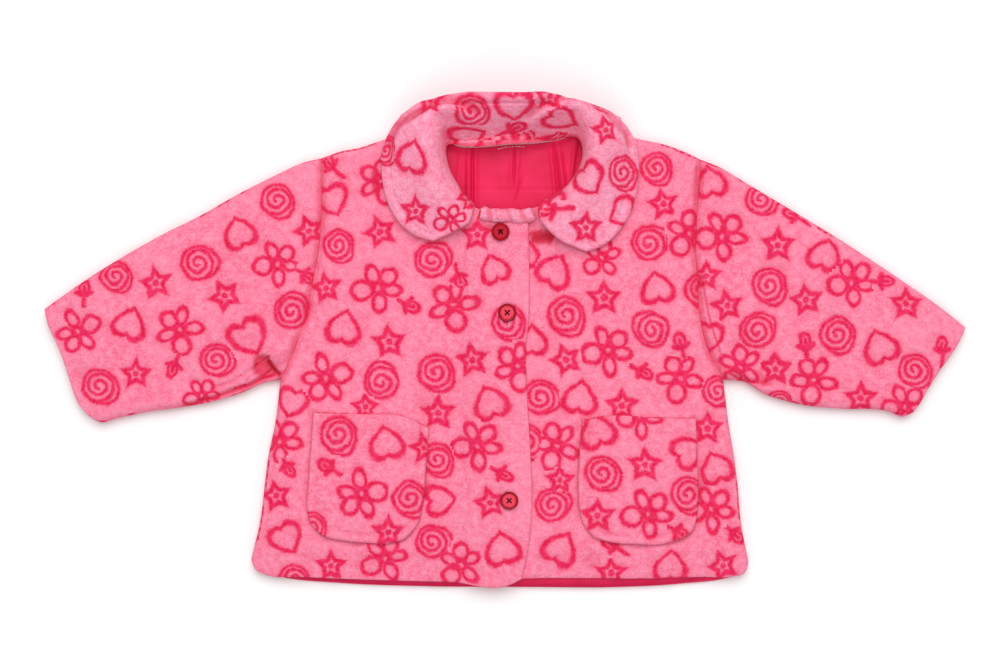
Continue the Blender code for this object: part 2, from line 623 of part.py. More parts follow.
def neck_band():
    """The gathered strip that closes the front of the neck, lying on the lap's upper edge."""
    path = smooth_curve(BAND_PATH)
    centres = along(path, np.linspace(0, length_of(path), BAND_STEPS + 1))
    way = unit(np.gradient(centres, axis=0))
    sideways = np.stack((-way[:, 1], way[:, 0]), axis=1)
    base = BODY_HEIGHT + LAP_RISE + GAP
    points = []
    for i in range(BAND_STEPS + 1):
        pucker = 1 + BAND_PUCKER_DEPTH * math.sin(2 * math.pi * BAND_PUCKERS * i / BAND_STEPS)
        half = BAND_HALF_WIDTH * (1 - BAND_WIDTH_PUCKER + BAND_WIDTH_PUCKER * pucker)
        for angle in np.radians(np.linspace(0, 180, BAND_ARCH_POINTS)):
            x, y = centres[i] + sideways[i] * half * math.cos(angle)
            points.append((x, y, base + BAND_HEIGHT * pucker * math.sin(angle)))
    ring = BAND_ARCH_POINTS
    faces = []
    for i in range(BAND_STEPS):
        for j in range(ring):
            a = i * ring + j
            b = i * ring + (j + 1) % ring
            faces.append((a, b, b + ring, a + ring))
    faces.append(tuple(range(ring)))
    faces.append(tuple(range(BAND_STEPS * ring, (BAND_STEPS + 1) * ring)))
    return add_object("neck_band", np.array(points), faces, COLOURS["collar"])


def pocket(name, outline, height, colour):
    """A patch pocket: the panel's own points under it, moved out."""
    def places(line):
        size = length_of(line)
        inside = spread(POCKET_BORDER, size - POCKET_BORDER, POCKET_STEPS)
        return np.array([0.0, POCKET_BORDER] + inside + [size])

    top = smooth_curve(outline["top"])
    bottom = smooth_curve(outline["bottom"])
    side_a = smooth_curve(outline["side_a"])
    side_b = smooth_curve(outline["side_b"])
    columns = places(top) / length_of(top)
    rows = places(side_a) / length_of(side_a)
    plan = patch(along(top, places(top)), along(bottom, places(bottom)),
                 along(side_a, places(side_a)), along(side_b, places(side_b)), columns, rows)
    base = height(plan[..., 0], plan[..., 1]) + GAP
    rise = np.full(plan.shape[:2], POCKET_CLOTH)
    rise += POCKET_PUFF * np.outer(np.sin(np.pi * rows), np.sin(np.pi * columns))
    rise[[0, -1], :] = POCKET_CLOTH - POCKET_EDGE_THINNER
    rise[:, [0, -1]] = POCKET_CLOTH - POCKET_EDGE_THINNER
    return add_wall(name, np.dstack((plan, base + rise)), np.dstack((plan, base)), colour)


def turned(name, profile, sides):
    """A closed solid turned from (radius, height) points, first and last on the axis."""
    work = bmesh.new()
    rings = []
    for radius, z in profile[1:-1]:
        turn = [2 * math.pi * k / sides for k in range(sides)]
        rings.append([work.verts.new((radius * MM * math.cos(a), radius * MM * math.sin(a), z * MM))
                      for a in turn])
    ends = [work.verts.new((0, 0, profile[0][1] * MM)), work.verts.new((0, 0, profile[-1][1] * MM))]
    for k in range(sides):
        n = (k + 1) % sides
        work.faces.new((ends[0], rings[0][k], rings[0][n]))
        work.faces.new((ends[1], rings[-1][n], rings[-1][k]))
        for upper, lower in zip(rings, rings[1:]):
            work.faces.new((upper[k], lower[k], lower[n], upper[n]))
    bmesh.ops.recalc_face_normals(work, faces=work.faces)
    mesh = bpy.data.meshes.new(name)
    work.to_mesh(mesh)
    work.free()
    obj = bpy.data.objects.new(name, mesh)
    bpy.context.scene.collection.objects.link(obj)
    return obj


def button(name, x, y, lean):
    """A flat button with a raised rim and four holes."""
    face = BUTTON_THICKNESS
    rim = face + BUTTON_RIM_HEIGHT
    profile = (
        (0, face),
        (BUTTON_RADIUS - BUTTON_RIM_WIDTH - BUTTON_EDGE_ROUND, face),
        (BUTTON_RADIUS - BUTTON_RIM_WIDTH, rim - BUTTON_INNER_FALL),
        (BUTTON_RADIUS - BUTTON_EDGE_ROUND, rim),
        (BUTTON_RADIUS, rim - BUTTON_EDGE_FALL),
        (BUTTON_RADIUS - BUTTON_WAIST_INSET, BUTTON_FOOT_HEIGHT),
        (BUTTON_RADIUS - BUTTON_FOOT_INSET, 0),
        (0, 0),
    )
    disc = turned(name, profile, BUTTON_SIDES)
    disc.data.materials.append(material(name, COLOURS["button"], 0.35))
    base = float(lap_top(np.array(float(x)), np.array(float(y)))) + GAP
    base += BUTTON_RADIUS * math.sin(math.radians(lean))
    disc.location = (x * MM, y * MM, base * MM)
    disc.rotation_euler = (math.radians(lean), 0.0, 0.0)
    disc.data.shade_smooth()
    disc.data.set_sharp_from_angle(angle=math.radians(40))
    above = 2 * face
    hole_profile = ((0, above), (BUTTON_HOLE_RADIUS, above), (BUTTON_HOLE_RADIUS, -face), (0, -face))
    reach = BUTTON_HOLE_SPACING / 2 * math.sqrt(2)
    for k in range(4):
        turn = math.radians(45 + 90 * k)
        hole = turned(f"{name}_hole_{k}", hole_profile, BUTTON_HOLE_SIDES)
        hole.parent = disc
        hole.location = (reach * MM * math.cos(turn), reach * MM * math.sin(turn), 0.0)
        hole.hide_render = True
        hole.display_type = "WIRE"
        cut = disc.modifiers.new(f"hole_{k}", "BOOLEAN")
        cut.operation = "DIFFERENCE"
        cut.object = hole
    return disc


def main():
    clear_scene()
    fleece = COLOURS["fleece"]
    back_panel()
    back_lining()
    front("front_left", ARMHOLE_LEFT, SIDE_LEFT, SHOULDER_LEFT, NECKLINE_LEFT, LAP_EDGE,
          tuple(reversed(HEM_LEFT)), body_top, fleece)
    front("front_right", ARMHOLE_RIGHT, SIDE_RIGHT, SHOULDER_RIGHT, NECKLINE_RIGHT, PLACKET,
          HEM_RIGHT, lap_top, fleece)
    sleeve("sleeve_right", ARMHOLE_RIGHT, SLEEVE_TOP_RIGHT, SLEEVE_BOTTOM_RIGHT, CUFF_RIGHT, fleece)
    sleeve("sleeve_left", ARMHOLE_LEFT, SLEEVE_TOP_LEFT, SLEEVE_BOTTOM_LEFT, CUFF_LEFT, fleece)
    collar()
    neck_band()
    pocket("pocket_right", POCKET_RIGHT, body_top, fleece)
    pocket("pocket_left", POCKET_LEFT, body_top, fleece)
    for name, x, y, lean in BUTTONS:
        button(name, x, y, lean)


main()
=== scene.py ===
"""Looks of the child's printed fleece jacket, laid flat on its back.

The cloth shells follow the solids' own construction, in millimetres, at a finer step and with the
relief that the solids leave out: seams, topstitching, creases and puffed edges. The print is drawn
by one node group in the coordinates of the nearest motif, which each face keeps in two UV maps.
The second map also keeps how deep in a crease each point lies, which the fleece paints as shade.
"""

import math

import bmesh
import bpy
import numpy as np
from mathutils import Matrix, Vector


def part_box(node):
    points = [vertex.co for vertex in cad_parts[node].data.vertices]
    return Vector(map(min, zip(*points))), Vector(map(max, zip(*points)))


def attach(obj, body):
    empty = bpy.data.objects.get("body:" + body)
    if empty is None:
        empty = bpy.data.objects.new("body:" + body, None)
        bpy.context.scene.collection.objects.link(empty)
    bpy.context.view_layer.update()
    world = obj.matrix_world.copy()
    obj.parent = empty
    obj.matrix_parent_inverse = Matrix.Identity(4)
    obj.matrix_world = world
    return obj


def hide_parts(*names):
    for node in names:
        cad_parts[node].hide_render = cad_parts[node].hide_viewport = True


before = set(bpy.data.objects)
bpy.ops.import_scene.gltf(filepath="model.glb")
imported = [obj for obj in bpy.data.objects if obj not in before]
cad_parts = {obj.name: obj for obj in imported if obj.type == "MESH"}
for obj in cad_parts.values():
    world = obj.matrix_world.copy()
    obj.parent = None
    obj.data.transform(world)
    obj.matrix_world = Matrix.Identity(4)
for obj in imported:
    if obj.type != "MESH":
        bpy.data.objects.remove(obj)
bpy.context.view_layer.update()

MM = 0.001

# Grid steps of the shells: ordinary, along the neckline, on the back, and under the arms
STEP = 2.3
NECK_STEP = 1.7
BACK_STEP = 3.2
FINE_STEP = 1.15
FINE_REACH = 48.0

# Cloth and layers, as in the solids
CLOTH = 3.3
LINING = 0.9
COLLAR_CLOTH = 4.4
POCKET_CLOTH = 3.0
GAP = 0.3
SEAM_HEIGHT = 5.5
BODY_HEIGHT = 11.0
EDGE_RADIUS = 7.0
HEM_DROOP = 2.3
HEM_DROOP_REACH = 26.0
CUFF_DROOP = 1.6
CUFF_DROOP_REACH = 30.0
LAP_EDGE_X = -12.0
LAP_RISE = CLOTH + 0.5
LAP_RISE_WIDTH = 15.0
LAP_CLEAR = 9.0
EDGE_ANGLES = tuple(range(0, 91, 10))
SHOULDER_FADE = 9.0
HEM_Y = -180.0

# Rounding of a cut or turned edge
FREE_EDGE = 1.7
FREE_ANGLES = (0, 25, 50, 75)

# Seams and stitched lines: distance from the edge, depth and half width
ARMHOLE_SEAM = (0.0, 2.6, 3.6)
HEM_STITCHES = (15.0, 0.5, 1.8)
CUFF_STITCHES = (16.0, 0.5, 2.0)
CLOSING_STITCHES = (6.0, 0.2, 1.4)
POCKET_SINK = (0.0, 1.3, 3.2)
POCKET_STITCHES = (6.5, 0.8, 1.5)
MOUTH_STITCHES = (12.0, 0.6, 1.6)
COLLAR_STITCHES = (8.0, 0.9, 1.1)

# Outlines of the pieces, in plan
ARMHOLE_RIGHT = ((-137, 136), (-137, 92), (-139, 67), (-142, 51), (-147, 26), (-156, -5), (-168, -30))
ARMHOLE_LEFT = ((147, 135), (144, 90), (143, 69), (144, 48), (147, 12), (151, -4), (164, -30))
SIDE_RIGHT = ((-168, -30), (-172, -63), (-177, -87), (-180, -111), (-183, -135), (-190, -165))
SIDE_LEFT = ((164, -30), (168, -63), (172, -87), (175, -111), (177, -135), (183, -167))
SHOULDER_RIGHT = ((-137, 136), (-123, 141), (-108, 144), (-93, 149), (-68, 155), (-46, 157))
SHOULDER_LEFT = ((147, 135), (132, 142), (117, 147), (102, 150), (80, 156), (60, 159))
NECKLINE_RIGHT = ((-46, 157), (-48, 144), (-45, 129), (-36, 112), (-23, 99), (-3, 95), (18, 93))
NECKLINE_LEFT = ((60, 159), (62, 144), (57, 126), (45, 110), (27, 100), (8, 96), (-12, 95))
NECKLINE_BACK = ((-46, 157), (-42, 149), (-35, 145), (-18, 143), (3, 145), (27, 147), (45, 150),
                 (55, 153), (60, 159))
PLACKET = ((18, 93), (18.5, 52), (18, 15), (16, -6), (17, -42), (19.5, -85), (20.5, -125), (17, -159),
           (13, -179))
LAP_EDGE = ((LAP_EDGE_X, 95), (LAP_EDGE_X, 0), (LAP_EDGE_X, -180))
HEM_RIGHT = ((-190, -165), (-186, -173), (-177, -177), (-153, -178), (-105, -180), (-38, -182),
             (3, -184), (13, -179))
HEM_LEFT = ((LAP_EDGE_X, -180), (19, -179), (72, -179), (117, -179), (147, -178), (172, -177.5),
            (180, -175), (183, -167))
HEM_BACK = ((-190, -165), (-185, -174), (-168, -178.5), (-123, -183), (-56, -185.5), (19, -186),
            (87, -186), (132, -183.5), (172, -178), (180, -175), (183, -167))
SLEEVE_TOP_RIGHT = ((-137, 136), (-153, 132), (-168, 125), (-198, 110), (-228, 93), (-258, 78),
                    (-288, 61), (-318, 42), (-345, 23))
SLEEVE_BOTTOM_RIGHT = ((-168, -30), (-182, -33), (-195, -39), (-213, -45), (-243, -51), (-266, -54),
                       (-290, -59), (-303, -62), (-311, -58))
CUFF_RIGHT = ((-345, 23), (-342, 11), (-333, -9), (-326, -30), (-318, -50), (-311, -58))
SLEEVE_TOP_LEFT = ((147, 135), (162, 129), (177, 120), (207, 102), (237, 84), (267, 65), (297, 45),
                   (327, 24), (346, 9))
SLEEVE_BOTTOM_LEFT = ((164, -30), (180, -32), (195, -41), (207, -45), (223, -49), (252, -52),
                      (288, -54), (299, -58), (306, -55))
CUFF_LEFT = ((346, 9), (337, -8), (329, -19), (318, -36), (311, -48), (306, -55))
POCKET_RIGHT = {
    "top": ((-143, -54), (-110, -55.5), (-76, -57), (-56, -66)),
    "bottom": ((-136, -147), (-123, -150), (-105, -152), (-84, -152), (-74, -149)),
    "side_a": ((-143, -54), (-145, -84), (-147, -111), (-147.5, -128), (-144, -139), (-136, -147)),
    "side_b": ((-56, -66), (-58, -85), (-59, -105), (-61, -124), (-65, -138), (-74, -149)),
}
POCKET_LEFT = {
    "top": ((58, -60), (75, -57), (110, -58), (143, -59)),
    "bottom": ((67, -148), (77, -151), (99, -153), (118, -153), (132, -149)),
    "side_a": ((58, -60), (56, -84), (55, -111), (56, -128), (60, -140), (67, -148)),
    "side_b": ((143, -59), (144, -90), (144.5, -118), (143.5, -134), (140, -143), (132, -149)),
}

# Folds of fronts and sleeves: x, y, half length, half width, angle of the length, height
FOLDS = (
    (-195, 16, 42, 15, 31, 2.6),
    (-172, -8, 17, 7, 62, 2.6),
    (-178, -24, 12, 5, 40, -2.2),
    (-262, 8, 38, 15, -60, 1.3),
    (-300, -10, 30, 12, 65, 1.2),
    (-222, 62, 45, 14, 28, 1.2),
    (196, 2, 34, 12, -38, 1.6),
    (176, -22, 10, 6, -20, 2.0),
    (240, 40, 42, 14, -32, 1.4),
    (292, 2, 30, 12, -62, 1.2),
    (-105, 40, 16, 44, 8, 1.2),
    (-60, -20, 40, 12, 12, -1.0),
    (40, 10, 14, 50, 4, 1.2),
    (98, 60, 18, 40, -10, 1.3),
    (120, -20, 40, 12, -8, -1.0),
    (-166, -90, 8, 48, -5, 1.0),
    (160, -90, 8, 48, 5, 1.0),
)

# Rows of points over the collar, from its seam to its outer edge
COLLAR_RIGHT = (
    ((3, 145.5, 8), (3, 154, 17), (3, 163, 30), (3, 171.5, 41), (3, 179.5, 47)),
    ((-18, 143.5, 8), (-20.5, 151.5, 18), (-23, 161, 32), (-25.5, 170.5, 42), (-28, 180, 45)),
    ((-35, 144, 9), (-40, 152.5, 21), (-45, 162.5, 36), (-49, 170, 43.5), (-55, 178, 38)),
    ((-43.5, 149, 13), (-45, 155.5, 27), (-54.5, 163, 43.5), (-67, 168, 37), (-76, 170.5, 27)),
    ((-43.5, 138, 13.5), (-46.5, 145, 30), (-56, 147.5, 43), (-74, 153, 32), (-88, 154.5, 19.5)),
    ((-41.5, 128, 14), (-46, 132.5, 29), (-54, 132, 41), (-74.5, 131, 29), (-93.5, 130, 17)),
    ((-36, 118, 14.5), (-42, 121, 27), (-49, 117, 37), (-69.5, 109, 26), (-89, 102, 17)),
    ((-30, 109, 15), (-34.5, 110, 24.5), (-41, 104, 31.5), (-59, 94, 24), (-76.5, 82, 17)),
    ((-25, 103.5, 15.5), (-28, 101.5, 22), (-34, 95, 27), (-46.5, 86, 22.5), (-64, 74.5, 17)),
    ((-21.5, 99, 17), (-23, 94, 21), (-25.5, 87.5, 23), (-36, 80.5, 20.5), (-53, 73, 17)),
)
COLLAR_LEFT = (
    ((24, 146.5, 8), (26.5, 154.5, 18), (30.5, 163.5, 32), (34, 171.5, 42), (37.5, 179, 45)),
    ((42, 149.5, 9), (45.5, 156.5, 21), (49.5, 165, 36), (54, 171, 43.5), (63, 175.5, 38)),
    ((54.5, 154, 13), (57, 159, 27), (64, 166, 43.5), (75.5, 169, 36), (85.5, 165.5, 27)),
    ((58.5, 143, 13.5), (60, 147.5, 30), (68, 151, 43), (84.5, 154, 32), (98, 151.5, 19.5)),
    ((57, 132, 14), (60, 136.5, 29), (66.5, 136, 41), (83, 134, 29), (101.5, 131.5, 17)),
    ((51.5, 120.5, 14.5), (56, 124.5, 27), (62, 121, 37), (80.5, 113.5, 26), (99.5, 107.5, 17)),
    ((44, 112.5, 15), (47.5, 113.5, 24.5), (53, 108, 31.5), (70, 97, 24), (92, 87.5, 17)),
    ((36, 107, 15.5), (38.5, 105.5, 22), (43, 98.5, 28), (58, 86.5, 23.5), (77, 70, 17)),
    ((26.5, 102.5, 16.5), (24.5, 99, 21), (25.5, 91.5, 24), (39, 75, 21), (61, 65, 17)),
)
COLLAR_CLEAR = 0.6
COLLAR_RELAX = 3
COLLAR_EDGE = 3.0
COLLAR_FRONT_Y = 152.0
COLLAR_ROUNDING = 2.2
COLLAR_SOLID_AROUND = 46
COLLAR_SOLID_ACROSS = 11
BAND_PATH = ((-19, 95), (-8, 92.5), (4, 92.5), (15, 92), (22, 94))

# Buttons: x, y and lean in degrees
BUTTONS = {"button_top": (-3, 80.5, 9.0), "button_middle": (2, 20, 0.0), "button_low": (3.5, -120, 0.0)}
BUTTON_HOLE_SPACING = 2.7

# The print chart is in photo pixels, each 0.75 mm, with these pixels at the model's origin
CHART_STEP = 0.75
CHART_ORIGIN = (504.5, 339.5)
CAMERA_HEIGHT = 1600.0
CHART_PLANE = 6.0

# Kinds of motif, where 0 is none, and how far each kind reaches in millimetres
HEART, STAR, SPIRAL, FLOWER, BUD = range(1, 6)
REACH = {HEART: 15.0, STAR: 13.0, SPIRAL: 14.5, FLOWER: 19.0, BUD: 11.0}

# Motifs of each piece by kind: across and down on the chart, size, turn in degrees
PRINT = {
    "sleeve_right": {
        HEART: ((239, 232, 0.95, 200), (130, 323, 0.95, 160), (249, 338, 1.1, 28)),
        STAR: ((156, 283, 0.9, 10), (225, 296, 0.9, 30), (309, 231, 0.85, 20), (136, 374, 0.85, 0)),
        SPIRAL: ((115, 276, 0.9, 20), (198, 263, 1, 60), (277, 200, 0.95, 0), (216, 360, 0.95, 45),
                 (99, 386, 1, 30), (291, 312, 1, 120)),
        FLOWER: ((277, 264, 0.9, 0), (180, 330, 0.95, 90), (78, 331, 0.9, 200), (202, 396, 0.7, 10)),
        BUD: ((304, 275, 0.9, -120), (174, 366, 0.9, 160), (84, 293, 0.9, 0)),
    },
    "front_right": {
        HEART: ((333, 201, 0.95, 20), (344, 327, 1, 170), (490, 402, 1, 200), (292, 403, 0.9, -20),
                (287, 539, 0.95, 30), (441, 500, 0.9, 100), (502, 548, 1, 190), (494, 268, 0.85, 200)),
        STAR: ((326, 288, 0.85, 10), (389, 342, 0.95, 5), (438, 413, 0.95, 0), (276, 496, 0.85, 15),
               (331, 566, 0.85, 0), (365, 407, 0.8, 0), (490, 503, 0.9, 10), (477, 235, 0.9, 0),
               (472, 360, 0.95, 10), (380, 232, 0.9, 20)),
        SPIRAL: ((338, 245, 0.9, 0), (291, 312, 1, 120), (381, 382, 1, 150), (436, 372, 1.05, 0),
                 (437, 459, 0.95, 0), (432, 542, 0.95, 60), (432, 260, 1, 90), (508, 322, 0.95, 0),
                 (294, 580, 0.9, 0)),
        FLOWER: ((381, 181, 0.9, 100), (378, 288, 1, 0), (326, 378, 1, 190), (279, 441, 0.95, 0),
                 (385, 559, 0.95, 20), (477, 446, 1, 0), (461, 565, 0.9, 40), (454, 305, 1, 90),
                 (518, 366, 0.95, 90)),
        BUD: ((332, 166, 0.95, 40), (408, 305, 0.9, -115), (287, 466, 0.85, -150),
              (501, 473, 0.9, -120), (459, 277, 0.95, 200)),
    },
    "front_left": {
        HEART: ((524, 252, 0.9, 180), (555, 270, 1, 150), (532, 340, 0.9, 180), (580, 397, 1, 170),
                (657, 287, 0.95, 190), (716, 467, 0.95, 200), (561, 548, 1, 150),
                (671, 566, 0.95, 175), (640, 446, 0.9, 0)),
        STAR: ((604, 298, 0.95, 0), (566, 360, 0.9, 20), (622, 406, 0.95, 0), (663, 204, 0.85, 10),
               (707, 428, 0.9, 0), (611, 573, 0.9, 0), (723, 566, 0.85, 20), (560, 480, 0.8, 0)),
        SPIRAL: ((566, 315, 1.05, 0), (540, 397, 1, 45), (656, 168, 0.9, 0), (649, 243, 1, 90),
                 (652, 330, 1, 200), (718, 391, 0.9, 30), (527, 441, 0.95, 10), (552, 505, 0.95, 80),
                 (700, 290, 0.9, 0)),
        FLOWER: ((608, 351, 1, 0), (602, 258, 0.8, 30), (690, 234, 0.95, 45), (680, 378, 0.95, 70),
                 (711, 510, 0.95, 0), (557, 446, 0.95, 60)),
        BUD: ((641, 371, 0.95, -120), (681, 346, 0.95, 15), (734, 534, 0.9, -130),
              (614, 546, 0.9, 60)),
    },
    "sleeve_left": {
        HEART: ((710, 181, 0.95, 190), (825, 254, 0.95, 160), (880, 346, 1, 200), (708, 338, 0.9, 0)),
        STAR: ((778, 245, 0.95, 0), (706, 276, 0.85, 0), (806, 300, 0.9, 10), (906, 304, 0.9, 0),
               (727, 306, 0.9, 10), (775, 369, 0.95, 0), (861, 398, 0.9, 0)),
        SPIRAL: ((761, 199, 0.9, 30), (769, 285, 1, 0), (757, 331, 1, 100), (837, 334, 1, 0),
                 (915, 370, 0.95, 0), (779, 402, 0.7, 0)),
        FLOWER: ((722, 236, 1, 0), (852, 283, 0.95, 0), (814, 380, 0.95, 70), (741, 367, 0.9, 45),
                 (905, 407, 0.9, 0)),
        BUD: ((795, 216, 0.9, 60), (882, 281, 0.9, -90), (806, 346, 0.95, 10), (942, 350, 0.9, 0)),
    },
    "pocket_right": {
        HEART: ((386, 442, 1, 190),),
        STAR: ((388, 532, 0.9, 0), (424, 448, 0.85, 10)),
        SPIRAL: ((338, 434, 1.05, 0), (410, 498, 1, 0), (312, 526, 0.8, 0)),
        FLOWER: ((361, 494, 1, 180),),
        BUD: ((330, 468, 0.95, 60),),
    },
    "pocket_left": {
        HEART: ((596, 430, 1.05, 200), (689, 451, 0.95, 120)),
        STAR: ((645, 465, 0.95, 0), (598, 516, 0.95, 0)),
        SPIRAL: ((602, 473, 1, 20), (688, 494, 1, 0)),
        FLOWER: ((640, 416, 0.9, 0), (648, 514, 1, 0)),
        BUD: ((677, 532, 0.9, -120),),
    },
    "collar": {
        HEART: ((411, 156, 1.0, 170), (588, 180, 1, 30), (623, 213, 0.9, -60), (514, 108, 1.1, 0),
                (468, 138, 1.05, 110), (562, 120, 1, 60)),
        STAR: ((415, 211, 0.85, 0), (586, 228, 0.9, 0), (606, 130, 0.8, 10), (550, 96, 0.9, 0),
               (430, 100, 0.9, 0)),
        SPIRAL: ((623, 172, 0.95, 0), (472, 110, 1, 0), (386, 150, 0.8, 0)),
        FLOWER: ((450, 220, 0.65, 20),),
        BUD: ((552, 209, 1.15, 90), (512, 130, 1.1, -60)),
    },
}

# One repeat of the print for the sides that the photograph doesn't show, in millimetres
REPEAT = (118.0, 92.0)
REPEAT_SHIFT = 59.0
REPEAT_MOTIFS = (
    (FLOWER, 20, 20, 1, 0), (BUD, 44, 8, 0.95, -120), (HEART, 66, 24, 1, 170), (STAR, 94, 12, 0.95, 0),
    (SPIRAL, 10, 60, 1, 30), (STAR, 40, 48, 0.95, 20), (FLOWER, 72, 62, 1, 60), (BUD, 70, 86, 0.95, 10),
    (SPIRAL, 100, 44, 1, 0), (HEART, 40, 78, 1, -20), (SPIRAL, 112, 80, 0.95, 90),
)

# Sides of the cloth, as places in a piece's list of materials
OUTSIDE, INSIDE = 0, 1

# Painted shade lines where cloth meets cloth, under the collar and in crevices, on the chart: points, half
# width in millimetres and strength. From 0 to 1 they deepen the pink towards the painted crease shade, and
# from 1 to 2 they go on to the painted shade of a closed crease.
PAINTED_SHADE_LINES = (
    (((256, 365), (261, 361), (266, 357.5), (271, 355.5)), 1.0, 1.5),
    (((267, 359), (269, 363), (272, 367.5), (277, 372), (281, 375.5)), 1.9, 2.0),
    (((272, 368), (268, 371), (264, 374.5), (260, 378.5)), 1.3, 1.7),
    (((262, 362), (266, 366), (270, 371)), 3.0, 1.2),
    (((528, 234.5), (535, 234), (543, 231)), 1.6, 1.5),
    (((531, 236.5), (540, 237.5), (548, 237), (554, 240)), 5.0, 1.75),
    (((481, 226), (487, 227), (493, 226.5)), 1.5, 0.9),
    (((374, 168), (374, 182), (378, 196)), 2.4, 1.15),
    (((323, 158), (322, 186), (320, 215)), 1.1, 0.8),
    (((319, 238), (316, 262), (311, 286)), 0.9, 0.6),
    (((697, 161), (696, 190), (695, 214), (697, 240)), 1.1, 0.8),
    (((701, 268), (706, 300), (713, 330), (722, 356)), 1.0, 0.8),
    (((728, 372), (740, 379), (752, 382)), 1.2, 1.2),
)

# Gap between the shells at the armhole seam, and the lowest that a crease sinks a sleeve's upper side
SHELL_GAP = 0.06
SLEEVE_LOWEST = 4.7

# Creases under the arms on the chart: points, depth and half width in millimetres
UNDERARM = (
    (((172, 409), (205, 400), (234, 390.5), (250, 384.5), (259, 379), (265, 374)), 3.4, 1.7),
    (((205, 391), (236, 379.5), (250, 371), (258, 364.5)), 1.5, 1.5),
    (((222, 391), (243, 383), (257, 373.5)), 1.0, 1.3),
    (((729, 371), (741, 379), (756, 382), (772, 384)), 2.0, 1.6),
    (((750, 366), (760, 375), (764, 386)), 1.2, 1.5),
)

# Edge of the bulge beside the right underarm on the chart, and the middle of the notch there
BULGE_EDGE = ((266, 350), (270, 357), (276, 365), (284, 378))
NOTCH = (-179.5, -19.5)

# Lines on the chart along which the collar rolls over, with what lies outside them lower
ROLL_RIGHT = ((480, 123), (470, 114), (459, 107.5), (448, 105), (437, 107), (420, 116.5), (408, 123),
              (398, 129.5), (394, 140), (389, 152), (380, 158))
ROLL_LEFT = ((627.5, 157), (625.5, 144), (621, 133), (613, 126), (604.5, 116), (592, 107), (581, 103),
             (572, 101.5), (560, 104), (546.5, 109), (533, 117), (522, 125))
INNER_CREASES = (((449, 107), (446.5, 118), (443.5, 132), (441, 143)),
                 ((581, 104), (577, 113), (575.5, 123), (580, 133)))

# Creases that show but are too fine for the solids: as the folds
CREASES = (
    (-186, -33, 20, 2.2, 22, -1.4),
    (-176, -26, 9, 3.0, 40, -2.6),
    (-170, -14, 9, 3.5, 68, 1.2),
    (-186, -28, 14, 2.0, 24, 0.6),
    (-152, 30, 26, 3.2, 72, 0.5),
    (193, -30, 12, 2.4, -18, -1.2),
    (172, -25, 8, 3.0, 20, 0.8),
    (150, 40, 26, 3.0, -80, 0.4),
    (214, -34, 14, 3.0, 10, -0.5),
    (-120, 118, 22, 4.0, 20, -0.4),
    (126, 122, 22, 4.0, -20, -0.4),
)

# Upright pleats of the lining inside the neck: as the folds
PLEATS = (
    (-24.0, 118, 30, 0.7, 90, -3.4),
    (-27.0, 120, 28, 2.2, 90, 3.0),
    (-21.5, 120, 28, 1.8, 90, 2.0),
    (-34.0, 126, 22, 2.6, 84, 1.4),
    (7.0, 132, 14, 0.6, 88, -2.6),
    (10.4, 112, 10, 0.6, 72, -1.8),
    (9.6, 128, 16, 2.0, 86, 1.8),
    (5.0, 128, 16, 1.6, 86, 1.0),
    (39.8, 118, 27, 0.7, 96, -3.4),
    (43.0, 124, 24, 2.4, 97, 3.2),
    (36.8, 120, 26, 1.6, 96, 1.6),
    (54.5, 134, 16, 0.7, 82, -2.4),
    (51.5, 134, 14, 1.4, 84, 2.0),
)

# Outline of the lining, and its stitched line: place in y, depth and half width
LINING_STITCHES = (112.5, 0.5, 0.9)
LINING_TOP = ((-43.5, 150), (-35, 144.5), (-18, 143.8), (3, 145.7), (24, 146.8), (42, 149.8), (54.5, 155))
LINING_RIGHT = ((54.5, 155), (66, 120), (110, 60), (136, 10), (155, -40), (162, -90), (170, -170))
LINING_LEFT = ((-43.5, 150), (-54, 118), (-104, 60), (-136, 10), (-158, -40), (-166, -90), (-174, -170))
LINING_BOTTOM = ((-174, -170), (-160, -177), (-123, -181.5), (-56, -184.5), (19, -185.2), (87, -185),
                 (132, -182), (160, -176.5), (170, -170))

# Petals of the flower: direction in degrees, distance of the middle, half length, half width
PETALS = ((112, 11.0, 7.0, 4.4), (48, 11.4, 6.6, 5.7), (-8, 10.8, 6.6, 4.2), (-84, 11.0, 7.0, 4.6),
          (188, 12.0, 7.6, 6.9))

# Colours of the fleece and its print, and the painted shade of its creases and its closed folds
FLEECE_LIGHT = (0.97, 0.300, 0.445, 1.0)
FLEECE_DEEP = (0.93, 0.150, 0.270, 1.0)
INK_LIGHT = (0.88, 0.040, 0.140, 1.0)
INK_DEEP = (0.76, 0.010, 0.070, 1.0)
PAINTED_CREASE_SHADE = (0.72, 0.018, 0.070, 1.0)
PAINTED_CLOSED_CREASE_SHADE = (0.48, 0.0, 0.008, 1.0)
# The collar's fleece, painted paler than the rest as painted light, so that its slopes away from the lights
# look as bright as the flat cloth
COLLAR_PAINTED_LIGHT_PALE = (1.0, 0.410, 0.570, 1.0)
COLLAR_PAINTED_LIGHT_DEEP = (0.96, 0.190, 0.335, 1.0)

# Colours of the lining, of the buttons' middle and rim, with the leaning top button's painted darker as
# painted shade under the collar, and of the threads
LINING_DEEP = (0.70, 0.012, 0.070, 1.0)
LINING_LIGHT = (0.84, 0.020, 0.110, 1.0)
BUTTON_BRIGHT = ((0.82, 0.060, 0.105, 1.0), (0.30, 0.003, 0.012, 1.0))
BUTTON_PAINTED_SHADE = ((0.55, 0.008, 0.030, 1.0), (0.34, 0.002, 0.012, 1.0))
LABEL_THREAD = (0.85, 0.80, 0.80, 1.0)
LINING_THREAD = (0.80, 0.03, 0.13, 1.0)
BUTTON_THREAD = (0.05, 0.001, 0.003, 1.0)

